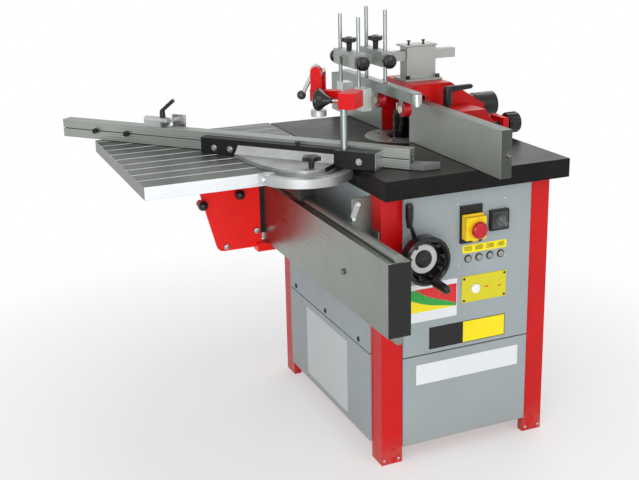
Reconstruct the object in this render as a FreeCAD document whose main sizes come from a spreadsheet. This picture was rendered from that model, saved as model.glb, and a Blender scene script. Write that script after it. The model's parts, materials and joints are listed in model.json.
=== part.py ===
"""Spindle moulder with sliding table, mitre fence, hold-downs and a fence guard.

Frame: millimetres, +Z up, the floor at Z = 0 under the middle of the cabinet.
+X is the operator's right, +Y points away from the operator.
"""
import FreeCAD, Part
import Sketcher
import math
import os

# Driving dimensions, millimetres and degrees
SIZES = {
    # cabinet
    "body_width": 750, "body_depth": 545, "post_width": 66, "post_sheet": 3, "post_lip": 26,
    "panel_sheet": 2, "panel_fold": 14, "panel_proud": 6, "panel_side_gap": 0.3,
    "panel_low": 50, "seam_height": 325, "seam_gap": 4, "tray_height": 60,
    "screw_head_radius": 5, "screw_head": 3, "screw_rise": 20, "screw_pitch": 245, "screw_shift": 10,
    # main table
    "table_top": 860, "table_thick": 55, "table_length": 870, "table_depth": 590,
    "table_right": 36, "table_front": 3, "table_skin": 16, "table_rib": 10, "table_rim": 24,
    "table_boss_radius": 140, "ring_radius": 114, "ring_thick": 10, "ring_lip": 12,
    "ring_mid_radius": 75, "ring_hole_radius": 45, "ring_clear": 0.3,
    # spindle and lift
    "spindle_left": 91, "spindle_back": 28, "arbor_radius": 15, "arbor_rise": 105,
    "spacer_radius": 25, "spacer_height": 20, "spacer_count": 5, "fit_clear": 0.05,
    "quill_radius": 50, "quill_length": 255, "quill_drop": 45, "guide_wall": 15, "guide_length": 190,
    "guide_flange_radius": 125, "guide_flange": 15, "bearing_radius": 36, "bearing_width": 17,
    "journal_radius": 17.5, "shaft_tail": 62, "pulley_height": 36, "pulley_gap": 14,
    "spindle_pulley_radius": 34, "motor_pulley_radius": 50, "belt_thick": 5, "belt_width": 28,
    "belt_clear": 0.3, "motor_right": 150, "motor_back": 60, "motor_radius": 85, "motor_height": 200,
    "carrier_thick": 14, "carrier_width": 60, "clamp_wall": 20,
    "screw_x": 40, "screw_radius": 10, "nut_radius": 22, "nut_height": 34,
    "bevel_radius": 24, "bevel_face": 9, "bevel_teeth": 16, "bevel_depth": 3.4,
    # handwheel
    "wheel_front": 170, "wheel_drop": 224, "wheel_radius": 70, "wheel_stand": 40, "wheel_deep": 40,
    "wheel_shaft_radius": 10, "hub_radius": 20, "dial_radius": 41, "dial_thick": 5,
    "cap_radius": 26, "grip_count": 9,
    "crank_radius": 62, "crank_length": 76, "crank_grip_radius": 13, "crank_angle": 286,
    "lever_room": 17, "lever_paddle": 68, "lever_lean": 24, "lever_grip_radius": 11, "flange_radius": 40,
            "flange_thick": 12,
    # fence
    "fence_back": 8, "fence_thick": 34, "fence_high": 132, "fence_rise": 1,
    "fence_left_length": 403, "fence_right_length": 520, "fence_mouth": 192,
    "hood_width": 200, "hood_top": 174, "hood_wall": 8, "hood_back": 272, "hood_nose": 2,
    "slide_clear": 0.4, "wing_length": 190, "wing_wall": 16, "wing_high": 94,
    "carrier_gap": 6, "carrier_long": 104, "carrier_back": 240, "carrier_high": 102,
    "port_radius": 40, "port_length": 92, "port_wall": 4, "port_rise": 72,
    "knob_screw_radius": 8, "adjust_radius": 34, "adjust_length": 40, "adjust_x": 60, "adjust_rise": 38,
    "lug_back": 296, "lug_thick": 20,
    # hold-down
    "tube_size": 30, "tube_rise": 252, "tube_front": 175, "tube_back": 213,
    "bracket_width": 50, "bracket_front": 38, "bracket_depth": 100, "bracket_high": 106,
    "bracket_flange": 8, "bracket_lid": 6, "lid_lip": 12, "screw_high": 14, "bolt_high": 11,
    "block_length": 156, "block_depth": 36, "block_high": 46, "block_drop": 18,
    "block_a_front": 148, "block_b_front": 59, "rod_radius": 6, "rod_pitch": 132, "rod_gap": 0.3,
    "rod_a_top": 386, "rod_b_top": 403, "shoe_low": 108, "shoe_high": 68, "shoe_reach": 30,
    "shoe_back": 28, "ski_high": 20, "beam_low": 152, "beam_high": 32, "beam_depth": 30,
    "beam_left": 330, "beam_right": 180, "roller_radius": 23, "roller_width": 23, "roller_drop": 27,
    "roller_left_x": -62, "roller_right_x": 105, "axle_radius": 4, "roller_hub": 11,
    "star_radius": 22, "star_stem": 24, "dish_radius": 22, "ball_radius": 16,
    # sliding table
    "slide_left": 470, "slide_right": 165, "slide_front": 862, "slide_gap": 4, "slide_thick": 37,
    "slide_skin": 12, "slide_wall": 8, "groove_pitch": 67, "groove_width": 6,
    "groove_first": 75, "groove_deep": 2,
    "rail_left": 587, "rail_right": 663, "rail_stand": 60, "rail_depth": 62, "rail_low": 532,
    "rail_high": 198, "rail_wall": 5, "rail_rod_radius": 13, "rail_rod_sink": 6, "cap_thick": 4,
    "shoe_bore_clear": 0.3, "carriage_x": 240, "carriage_sheet": 8, "carriage_low": 512,
    "carriage_front": 233.5, "carriage_slant": 81, "carriage_corner": 20, "carriage_gap": 6,
    "rail_bracket_low": 600, "rail_bracket_high": 150, "rail_bracket_sheet": 6,
    # mitre fence, in its own frame about the pivot
    "pivot_x": 155, "pivot_front": 405, "mitre_angle": 41, "quadrant_radius": 140, "quadrant_rim": 26,
    "segment_thick": 12, "rail_bracket_gap": 6, "mitre_knob_radius": 26,
    "mitre_knob_stem": 18, "mitre_knob_x": 45, "mitre_knob_front": 40,
    "mitre_face": 75, "mitre_depth": 38, "mitre_high": 56,
    "mitre_lift": 2, "mitre_left": 901, "mitre_right": 290, "mitre_wall": 3, "mitre_slot": 3.2,
    "bar_left": 365, "bar_right": 84, "bar_depth": 30, "bar_high": 48, "holder_right": 209,
    "holder_depth": 50, "holder_high": 50, "clamp_x": 106, "clamp_side": 45, "clamp_radius": 10,
    "arm_low": 182, "arm_high": 34, "arm_left": 29, "arm_width": 34,
    "tower_high": 64, "pad_radius": 22, "pad_thick": 18, "pad_drop": 24, "cam_radius": 20,
    "arm_right": 163, "lug_left": 118, "lug_front": 18, "arm_knob_radius": 31, "arm_knob_x": 51,
    "arm_knob_side": 4, "arm_knob_rise": 196,
    "stop_x": -557, "stop_length": 70, "stop_radius": 13, "flag_rise": 32,
    # controls on the right-hand panel
    "switch_y": 5, "switch_z": 700, "switch_wide": 70, "switch_tall": 110, "switch_plate": 8,
    "flap_wide": 64, "flap_tall": 66, "flap_deep": 26, "flap_drop": 6, "mushroom_radius": 25,
    "stem_radius": 9,
    "selector_y": 95, "selector_z": 701, "selector_size": 60, "selector_knob_radius": 16, "selector_deep": 14,
    "lamp_y": -1, "lamp_pitch": 36, "lamp_z": 596, "lamp_radius": 9, "bezel_radius": 12,
    "plate_y": 54, "plate_z": 503, "plate_wide": 148, "plate_tall": 80, "plate_sheet": 2,
    "button_y": 24, "button_radius": 14, "push_travel": 5,
}

doc = FreeCAD.newDocument("SpindleMoulder")
sheet = doc.addObject("Spreadsheet::Sheet", "Sizes")
for row, (alias, number) in enumerate(SIZES.items(), start=1):
    sheet.set("A%d" % row, alias)
    sheet.set("B%d" % row, str(number))
    sheet.setAlias("B%d" % row, alias)
doc.recompute()


class Dim:
    """A length that knows its number and the sheet expression it comes from."""

    def __init__(self, text, value):
        self.text = text
        self.value = float(value)

    def __add__(self, other):
        other = dim(other)
        return Dim("(%s + %s)" % (self.text, other.text), self.value + other.value)

    def __sub__(self, other):
        other = dim(other)
        return Dim("(%s - %s)" % (self.text, other.text), self.value - other.value)

    def __mul__(self, other):
        other = dim(other)
        return Dim("(%s * %s)" % (self.text, other.text), self.value * other.value)

    def __truediv__(self, other):
        other = dim(other)
        return Dim("(%s / %s)" % (self.text, other.text), self.value / other.value)

    def __neg__(self):
        return Dim("(0 - %s)" % self.text, -self.value)

    def __radd__(self, other):
        return dim(other) + self

    def __rsub__(self, other):
        return dim(other) - self

    def __rmul__(self, other):
        return dim(other) * self

    def __float__(self):
        return self.value


def dim(number):
    """A Dim as it is, or a plain number as a Dim."""
    if isinstance(number, Dim):
        return number
    return Dim("(%.6f)" % number, number)


class Sizes:
    """Gives each cell of the sheet as a Dim: size.table_top and so on."""

    def __getattr__(self, alias):
        return Dim("Sizes." + alias, sheet.get(alias))


size = Sizes()
NODES = []

# Rotations that carry a profile drawn in local X, Y to the plane across each axis
ALONG = {
    "x": FreeCAD.Rotation(FreeCAD.Vector(1, 1, 1), 120),
    "y": FreeCAD.Rotation(FreeCAD.Vector(1, 1, 1), 240),
    "z": FreeCAD.Rotation(),
}


def bind(obj, prop, number):
    """Ties one property to the sheet."""
    obj.setExpression(prop, dim(number).text)


def place(obj, x, y, z, rotation=None):
    """Puts an object at a point that follows the sheet."""
    x, y, z = dim(x), dim(y), dim(z)
    obj.Placement = FreeCAD.Placement(FreeCAD.Vector(x.value, y.value, z.value),
                                      rotation or FreeCAD.Rotation())
    bind(obj, "Placement.Base.x", x)
    bind(obj, "Placement.Base.y", y)
    bind(obj, "Placement.Base.z", z)
    return obj


def box(xs, ys, zs):
    """A block between two values on each axis."""
    made = doc.addObject("Part::Box", "Block")
    for prop, (low, high) in zip(("Length", "Width", "Height"), (xs, ys, zs)):
        bind(made, prop, dim(high) - dim(low))
    return place(made, xs[0], ys[0], zs[0])


def on_axis(axis, across, start):
    """The point at start along an axis, with the other two values in X, Y, Z order."""
    point = list(across)
    point.insert("xyz".index(axis), start)
    return point


def rod(axis, across, span, radius):
    """A round bar along an axis, from span[0] to span[1]."""
    made = doc.addObject("Part::Cylinder", "Rod")
    bind(made, "Radius", radius)
    bind(made, "Height", dim(span[1]) - dim(span[0]))
    return place(made, *on_axis(axis, across, span[0]), rotation=ALONG[axis])


def cone(axis, across, span, radius_start, radius_end):
    """A taper along an axis."""
    made = doc.addObject("Part::Cone", "Taper")
    bind(made, "Radius1", radius_start)
    bind(made, "Radius2", radius_end)
    bind(made, "Height", dim(span[1]) - dim(span[0]))
    return place(made, *on_axis(axis, across, span[0]), rotation=ALONG[axis])


def ball(x, y, z, radius, seam=0):
    """A sphere, with its seam turned to the given angle about Z."""
    made = doc.addObject("Part::Sphere", "Ball")
    bind(made, "Radius", radius)
    return place(made, x, y, z, rotation=FreeCAD.Rotation(FreeCAD.Vector(0, 0, 1), seam))


def torus(axis, across, at, ring, wire):
    """A ring of round wire round an axis."""
    made = doc.addObject("Part::Torus", "Ring")
    bind(made, "Radius1", ring)
    bind(made, "Radius2", wire)
    return place(made, *on_axis(axis, across, at), rotation=ALONG[axis])


def outline(body, points):
    """A closed sketch on the body's own XY plane, each corner tied to the sheet."""
    plane = [p for p in body.Origin.OriginFeatures if p.Role == "XY_Plane"][0]
    drawn = body.newObject("Sketcher::SketchObject", "Outline")
    drawn.AttachmentSupport = [(plane, "")]
    drawn.MapMode = "FlatFace"
    corners = [(dim(u), dim(v)) for u, v in points]
    count = len(corners)
    for i, (u, v) in enumerate(corners):
        after = corners[(i + 1) % count]
        drawn.addGeometry(Part.LineSegment(FreeCAD.Vector(u.value, v.value, 0),
                                           FreeCAD.Vector(after[0].value, after[1].value, 0)), False)
    for i in range(count):
        drawn.addConstraint(Sketcher.Constraint("Coincident", i, 2, (i + 1) % count, 1))
    for i, corner in enumerate(corners):
        for kind, number in zip(("DistanceX", "DistanceY"), corner):
            made = drawn.addConstraint(Sketcher.Constraint(kind, -1, 1, i, 1, number.value))
            drawn.setExpression("Constraints[%d]" % made, number.text)
    return drawn


def prism(axis, points, span):
    """A pad of an outline along an axis. Corners are in Y Z along x, Z X along y, X Y along z."""
    body = doc.addObject("PartDesign::Body", "Section")
    drawn = outline(body, points)
    pad = body.newObject("PartDesign::Pad", "Pad")
    pad.Profile = drawn
    bind(pad, "Length", dim(span[1]) - dim(span[0]))
    base = {"x": (span[0], 0, 0), "y": (0, span[0], 0), "z": (0, 0, span[0])}[axis]
    return place(body, *base, rotation=ALONG[axis])


# Rotations that carry a turned profile, drawn round local Y, to each axis
TURNED = {"x": ALONG["y"], "y": FreeCAD.Rotation(), "z": ALONG["x"]}


def turned(axis, across, points):
    """A lathe-turned piece. Each corner is a radius and a place along the axis."""
    body = doc.addObject("PartDesign::Body", "Turning")
    drawn = outline(body, points)
    spun = body.newObject("PartDesign::Revolution", "Turn")
    spun.Profile = drawn
    spun.ReferenceAxis = (drawn, ["V_Axis"])
    spun.Angle = 360
    return place(body, *on_axis(axis, across, 0), rotation=TURNED[axis])


def fuse(*pieces):
    """Pieces that are cast, welded or machined as one."""
    made = doc.addObject("Part::MultiFuse", "Joined")
    made.Shapes = list(pieces)
    made.Refine = True
    return made


def cut(base, *tools):
    """A piece with holes or recesses."""
    made = doc.addObject("Part::Cut", "Cut")
    made.Base = base
    made.Tool = tools[0] if len(tools) == 1 else fuse(*tools)
    made.Refine = True
    return made


def group(*pieces):
    """Separate solids that share one node."""
    made = doc.addObject("Part::Compound", "Group")
    made.Links = list(pieces)
    return made


def node(label, made):
    """Names a finished sub-part."""
    made.Label = label
    NODES.append(made)
    return made


def tray(axis, outer, sheet_thick, fold, ys, zs):
    """A folded sheet panel that faces along +axis or -axis, open at its back."""
    sign = 1 if axis[0] == "+" else -1
    if sign > 0:
        depth = (outer - fold, outer)
        hollow = (outer - fold - sheet_thick, outer - sheet_thick)
    else:
        depth = (outer, outer + fold)
        hollow = (outer + sheet_thick, outer + fold + sheet_thick)
    inner_a = (ys[0] + sheet_thick, ys[1] - sheet_thick)
    inner_z = (zs[0] + sheet_thick, zs[1] - sheet_thick)
    if axis[1] == "x":
        return cut(box(depth, ys, zs), box(hollow, inner_a, inner_z))
    return cut(box(ys, depth, zs), box(inner_a, hollow, inner_z))


# Places that several pieces share
half_w = size.body_width / 2
half_d = size.body_depth / 2
inner_w = half_w - size.post_width - size.panel_side_gap
inner_d = half_d - size.post_width - size.panel_side_gap
table_low = size.table_top - size.table_thick
table_x1 = half_w + size.table_right
table_x0 = table_x1 - size.table_length
table_y0 = -half_d - size.table_front
table_y1 = table_y0 + size.table_depth
spindle_x = -size.spindle_left
spindle_y = size.spindle_back
spindle_at = (spindle_x, spindle_y)
motor_at = (size.motor_right, size.motor_back)
panel_face = half_w + size.panel_proud
front_face = -half_d - size.panel_proud
seam_top = size.seam_height + size.seam_gap
wheel_y = -size.wheel_front
wheel_z = size.table_top - size.wheel_drop
wheel_at = (wheel_y, wheel_z)
screw_at = (size.screw_x, wheel_y)


def corner_post(sign_x, sign_y):
    """One bent-sheet corner post with return lips, its foot on the floor."""
    outer_x, outer_y = half_w * sign_x, half_d * sign_y
    wide_x, wide_y = size.post_width * sign_x, size.post_width * sign_y
    skin_x, skin_y = size.post_sheet * sign_x, size.post_sheet * sign_y
    lip_x, lip_y = size.post_lip * sign_x, size.post_lip * sign_y
    points = [
        (outer_x, outer_y), (outer_x - wide_x, outer_y), (outer_x - wide_x, outer_y - lip_y),
        (outer_x - wide_x + skin_x, outer_y - lip_y), (outer_x - wide_x + skin_x, outer_y - skin_y),
        (outer_x - skin_x, outer_y - skin_y), (outer_x - skin_x, outer_y - wide_y + skin_y),
        (outer_x - lip_x, outer_y - wide_y + skin_y), (outer_x - lip_x, outer_y - wide_y),
        (outer_x, outer_y - wide_y),
    ]
    return prism("z", points, (0, table_low))


def cabinet():
    """Welded frame of four posts on a tray, folded panels and their fasteners."""
    lip = size.post_sheet
    clear = size.panel_fold + size.panel_side_gap - size.panel_proud
    floor = box((-half_w + clear, half_w - clear), (-half_d + clear, half_d - clear),
                (size.tray_height, size.tray_height + lip))
    posts = [corner_post(sx, sy) for sx in (-1, 1) for sy in (-1, 1)]
    node("cabinet_frame", group(cut(floor, *posts), *posts))
    skin, fold = size.panel_sheet, size.panel_fold
    across_x, across_y = (-inner_w, inner_w), (-inner_d, inner_d)
    low, high = (size.panel_low, size.seam_height), (seam_top, table_low)
    whole = (size.panel_low, table_low)
    front_low = tray("-y", front_face, skin, fold, across_x, low)
    right_low = tray("+x", panel_face, skin, fold, across_y, low)
    left = tray("-x", -panel_face, skin, fold, across_y, whole)
    rear = tray("+y", -front_face, skin, fold, across_x, whole)
    front_high = tray("-y", front_face, skin, fold, across_x, high)
    node("cabinet_covers", group(front_high, front_low, right_low, left, rear))
    right = tray("+x", panel_face, skin, fold, across_y, high)
    hole = rod("x", wheel_at, (panel_face - fold, panel_face + skin), size.wheel_shaft_radius + 2)
    button = rod("x", (size.button_y, size.plate_z), (panel_face - fold, panel_face + skin),
            size.button_radius + 2)
    node("control_panel", cut(right, hole, button))
    pieces = []
    for step in (-1, 0, 1):
        at = size.screw_pitch * step - size.screw_shift
        pieces.append(rod("y", (at, seam_top + size.screw_rise),
                          (front_face - size.screw_head, front_face), size.screw_head_radius))
    bearing = rod("x", wheel_at, (panel_face, panel_face + size.flange_thick), size.flange_radius)
    bore = rod("x", wheel_at, (panel_face - skin, panel_face + size.flange_thick + skin),
               size.wheel_shaft_radius + size.fit_clear)
    pieces.append(cut(bearing, bore))
    gland_y = (-front_face, -front_face + 18)
    pieces.append(cut(rod("y", (inner_w / 2, 130), gland_y, 13), rod("y", (inner_w / 2, 130), gland_y,
            6)))
    node("panel_hardware", group(*pieces))


def pockets(xs, ys, zs, across, along, rib):
    """Rows of underside pockets with ribs between them."""
    wide = (xs[1] - xs[0] + rib) / across
    deep = (ys[1] - ys[0] + rib) / along
    made = []
    for i in range(across):
        for j in range(along):
            left = xs[0] + wide * i
            front = ys[0] + deep * j
            made.append(box((left, left + wide - rib), (front, front + deep - rib), zs))
    return made


def main_table():
    """Ribbed cast-iron table with a stepped hole and two insert rings."""
    top, rim = size.table_top, size.table_rim
    slab = box((table_x0, table_x1), (table_y0, table_y1), (table_low, top))
    hollow_z = (table_low - rim, top - size.table_skin)
    cells = []
    xs = [table_x0 + rim, spindle_x - size.table_boss_radius - rim,
            spindle_x + size.table_boss_radius + rim,
          table_x1 - rim]
    ys = (table_y0 + rim, table_y1 - rim)
    cells += pockets((xs[0], xs[1]), ys, hollow_z, 2, 5, size.table_rib)
    cells += pockets((xs[2], xs[3]), ys, hollow_z, 4, 5, size.table_rib)
    seat = rod("z", spindle_at, (top - size.ring_thick, top + rim), size.ring_radius + size.ring_clear)
    well = rod("z", spindle_at, (table_low - rim, top), size.ring_radius - size.ring_lip)
    node("main_table", cut(slab, seat, well, *cells))
    low = top - size.ring_thick
    outer = cut(rod("z", spindle_at, (low, top), size.ring_radius),
                rod("z", spindle_at, (low - rim, top + rim), size.ring_mid_radius))
    inner = cut(rod("z", spindle_at, (low, top), size.ring_mid_radius),
                rod("z", spindle_at, (low - rim, top + rim), size.ring_hole_radius))
    node("insert_rings", group(outer, inner))


quill_top = size.table_top - size.quill_drop
quill_low = quill_top - size.quill_length
carrier_low = quill_low + 2
carrier_top = carrier_low + size.carrier_thick
collar_low = quill_top + 1
collar_top = collar_low + 10
pulley_top = carrier_low - size.pulley_gap
pulley_low = pulley_top - size.pulley_height
bracket_x = (size.screw_x + 44, size.screw_x + 74)


def quill_guide():
    """Casting under the table: guide tube, arm, shaft bearing and the screw's foot."""
    low = table_low - size.guide_length
    tube = rod("z", spindle_at, (low, table_low), size.quill_radius + size.guide_wall)
    flange = rod("z", spindle_at, (table_low - size.guide_flange, table_low), size.guide_flange_radius)
    arm_z = (wheel_z - 14, max(wheel_z + 16, low + 30, key=float))
    reach = wheel_y + 29
    arm = box((spindle_x - 14, spindle_x + 14), (reach, spindle_y - size.quill_radius - 4), arm_z)
    beam = box((spindle_x - 14, bracket_x[1]), (reach, reach + 30), arm_z)
    block = box(bracket_x, (wheel_y - 24, reach + 30), (wheel_z - 28, wheel_z + 28))
    foot_z = quill_low - 134
    leg = box(bracket_x, (wheel_y - 16, wheel_y + 16), (foot_z, wheel_z - 20))
    foot = box((size.screw_x - 20, bracket_x[1]), (wheel_y - 16, wheel_y + 16), (foot_z, foot_z + 15))
    bore = rod("z", spindle_at, (low - 5, table_low + 5), size.quill_radius + size.fit_clear)
    shaft = rod("x", wheel_at, (bracket_x[0] - 5, bracket_x[1] + 5),
                size.wheel_shaft_radius + size.fit_clear)
    step = rod("z", screw_at, (foot_z - 5, foot_z + 25), size.screw_radius - 2 + size.fit_clear)
    node("quill_guide", cut(fuse(tube, flange, arm, beam, block, leg, foot), bore, shaft, step))
    return foot_z


def spindle_unit():
    """Quill with its bearings, the motor on its carrier and the belt."""
    seat = size.bearing_width + 3
    body = rod("z", spindle_at, (quill_low, quill_top), size.quill_radius)
    bore = rod("z", spindle_at, (quill_low - 5, quill_top + 5), size.bearing_radius - 6)
    seats = [rod("z", spindle_at, (quill_low - 5, quill_low + seat), size.bearing_radius),
             rod("z", spindle_at, (quill_top - seat, quill_top + 5), size.bearing_radius)]
    node("quill", cut(body, bore, *seats))
    rings = []
    for start in (quill_low + 3, quill_top - seat):
        span = (start, start + size.bearing_width)
        rings.append(cut(rod("z", spindle_at, span, size.bearing_radius),
                         rod("z", spindle_at, span, size.journal_radius + size.fit_clear)))
    node("spindle_bearings", group(*rings))
    clamp = rod("z", spindle_at, (carrier_low, carrier_low + 28), size.quill_radius + size.clamp_wall)
    pad = rod("z", motor_at, (carrier_low, carrier_top), size.motor_radius)
    reach = fuse(clamp, pad)
    half = size.carrier_width / 2
    links = []
    for target, width in ((motor_at, half), (screw_at, half * 0.6)):
        dx, dy = target[0] - spindle_x, target[1] - spindle_y
        long = math.hypot(dx.value, dy.value)
        off_x, off_y = dy * (width / long), dx * (width / long)
        points = [(spindle_x + off_x, spindle_y - off_y), (target[0] + off_x, target[1] - off_y),
                  (target[0] - off_x, target[1] + off_y), (spindle_x - off_x, spindle_y + off_y)]
        links.append(prism("z", points, (carrier_low, carrier_top)))
    nut = rod("z", screw_at, (carrier_top - size.nut_height, carrier_top), size.nut_radius)
    holes = [rod("z", spindle_at, (carrier_low - 5, carrier_low + 40), size.quill_radius),
             rod("z", motor_at, (carrier_low - 5, carrier_top + 5), size.bearing_radius / 2),
             rod("z", screw_at, (carrier_low - 50, carrier_top + 5),
                     size.screw_radius + size.fit_clear)]
    node("motor_carrier", cut(fuse(reach, nut, *links), *holes))
    motor_top = carrier_top + size.motor_height
    shell = turned("z", motor_at, [
        (0, carrier_top + 14), (size.motor_radius - 10, carrier_top + 14),
                (size.motor_radius - 10, carrier_top),
        (size.motor_radius, carrier_top), (size.motor_radius, motor_top - 40),
        (size.motor_radius - 12, motor_top), (0, motor_top)])
    fins = [rod("z", motor_at, (carrier_top + 30, motor_top - 50), size.motor_radius + 3)]
    node("motor_body", cut(fuse(shell, *fins),
                           rod("z", motor_at, (carrier_top, carrier_top + 60),
                               size.journal_radius - 4 + size.fit_clear)))
    node("drive_belt", drive_belt())


def belt_loop(radius_a, radius_b, low, high):
    """The solid between two parallel planes inside a loop round both pulleys."""
    ax, ay = float(spindle_at[0]), float(spindle_at[1])
    bx, by = float(motor_at[0]), float(motor_at[1])
    long = math.hypot(bx - ax, by - ay)
    heading = math.atan2(by - ay, bx - ax)
    lean = math.acos((radius_a - radius_b) / long)
    level = float(low)

    def point(cx, cy, radius, angle):
        return FreeCAD.Vector(cx + radius * math.cos(angle), cy + radius * math.sin(angle), level)

    left, right = heading + lean, heading - lean
    a_left, a_far = point(ax, ay, radius_a, left), point(ax, ay, radius_a, heading + math.pi)
    a_right, b_right = point(ax, ay, radius_a, right), point(bx, by, radius_b, right)
    b_far, b_left = point(bx, by, radius_b, heading), point(bx, by, radius_b, left)
    edges = [Part.Arc(a_left, a_far, a_right).toShape(), Part.LineSegment(a_right, b_right).toShape(),
             Part.Arc(b_right, b_far, b_left).toShape(), Part.LineSegment(b_left, a_left).toShape()]
    face = Part.Face(Part.Wire(edges))
    return face.extrude(FreeCAD.Vector(0, 0, float(high) - level))


def drive_belt():
    """Flat belt round both pulleys, with running clearance."""
    middle = (pulley_low + pulley_top) / 2
    low, high = middle - size.belt_width / 2, middle + size.belt_width / 2
    gap, thick = float(size.belt_clear), float(size.belt_thick)
    inner_a = float(size.spindle_pulley_radius) + gap
    inner_b = float(size.motor_pulley_radius) + gap
    made = doc.addObject("Part::Feature", "Belt")
    made.Shape = belt_loop(inner_a + thick, inner_b + thick, low, high).cut(
        belt_loop(inner_a, inner_b, low, high))
    return made


def spindle():
    """Arbor with collar, pulley, spacers and nut."""
    tip = size.table_top + size.arbor_rise
    nut_low = collar_top + size.spacer_height * size.spacer_count
    tail = quill_low - size.shaft_tail
    wheel, shaft = size.spindle_pulley_radius, size.journal_radius
    node("spindle_shaft", turned("z", spindle_at, [
        (0, tail), (shaft, tail), (shaft, pulley_low), (wheel, pulley_low), (wheel, pulley_top),
        (shaft, pulley_top), (shaft, collar_low), (size.spacer_radius + 4, collar_low),
        (size.spacer_radius + 4, collar_top), (size.arbor_radius, collar_top), (size.arbor_radius, tip),
        (0, tip)]))
    rings = []
    for i in range(int(SIZES["spacer_count"])):
        low = collar_top + size.spacer_height * i
        span = (low, low + size.spacer_height)
        rings.append(cut(rod("z", spindle_at, span, size.spacer_radius),
                         rod("z", spindle_at, span, size.arbor_radius + size.fit_clear)))
    rings.append(cut(hexagon("z", spindle_at, (nut_low, nut_low + 16), size.spacer_radius - 2),
                     rod("z", spindle_at, (nut_low, nut_low + 16), size.arbor_radius + size.fit_clear)))
    node("spindle_spacers", group(*rings))
    shaft = size.journal_radius - 4
    wheel = size.motor_pulley_radius
    node("motor_pulley", turned("z", motor_at, [
        (0, pulley_low - 4), (shaft, pulley_low - 4), (shaft, pulley_low), (wheel, pulley_low),
        (wheel, pulley_top), (shaft, pulley_top), (shaft, carrier_top + 50), (0, carrier_top + 50)]))


def hexagon(axis, across, span, radius):
    """A six-sided head across its corners."""
    root3 = math.sqrt(3) / 2
    u, v = {"x": (0, 1), "y": (1, 0), "z": (0, 1)}[axis]
    centre = (across[u], across[v])
    points = [(centre[0] + radius * c, centre[1] + radius * s) for c, s in (
        (1, 0), (0.5, root3), (-0.5, root3), (-1, 0), (-0.5, -root3), (0.5, -root3))]
    return prism(axis, points, span)


def bevel_gear(phase):
    """A straight bevel gear on a 45 degree cone, its apex at the origin and its back below it."""
    pitch, face = float(size.bevel_radius), float(size.bevel_face)
    count, depth = int(SIZES["bevel_teeth"]), float(size.bevel_depth)
    inner = (pitch - face * math.sqrt(0.5)) / pitch
    tip = depth * 0.38 * math.sqrt(0.5)
    root = depth * 0.62 * math.sqrt(0.5)
    back = -pitch * 1.5
    blank = Part.Wire(Part.makePolygon([FreeCAD.Vector(r, 0, z) for r, z in (
        (0, -inner * (pitch + root)), (inner * (pitch - root), -inner * (pitch + root)),
        (pitch - root, -pitch - root), (pitch - root, back), (0, back), (0, -inner * (pitch + root)))]))
    gear = Part.Face(blank).revolve(FreeCAD.Vector(0, 0, 0), FreeCAD.Vector(0, 0, 1), 360)
    width = math.pi * pitch / count * 0.78
    half_tip, half_root = width / 2 - tip * 0.5, width / 2 + root * 0.5
    sunk = root + 0.4
    for i in range(count):
        section = [FreeCAD.Vector(pitch - sunk, -half_root, -pitch - sunk),
                   FreeCAD.Vector(pitch + tip, -half_tip, -pitch + tip),
                   FreeCAD.Vector(pitch + tip, half_tip, -pitch + tip),
                   FreeCAD.Vector(pitch - sunk, half_root, -pitch - sunk)]
        wires = [Part.makePolygon([v * scale for v in section + section[:1]]) for scale in (1, inner)]
        tooth = Part.makeLoft(wires, True, True)
        tooth.rotate(FreeCAD.Vector(), FreeCAD.Vector(0, 0, 1), 360.0 * (i + phase) / count)
        gear = gear.fuse(tooth)
    return gear.removeSplitter()


def gear_at(phase, rotation):
    """A bevel gear with its apex where the wheel shaft and the lift screw cross."""
    made = doc.addObject("Part::Feature", "Bevel")
    made.Shape = bevel_gear(phase)
    return place(made, size.screw_x, wheel_y, wheel_z, rotation=rotation)


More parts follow.
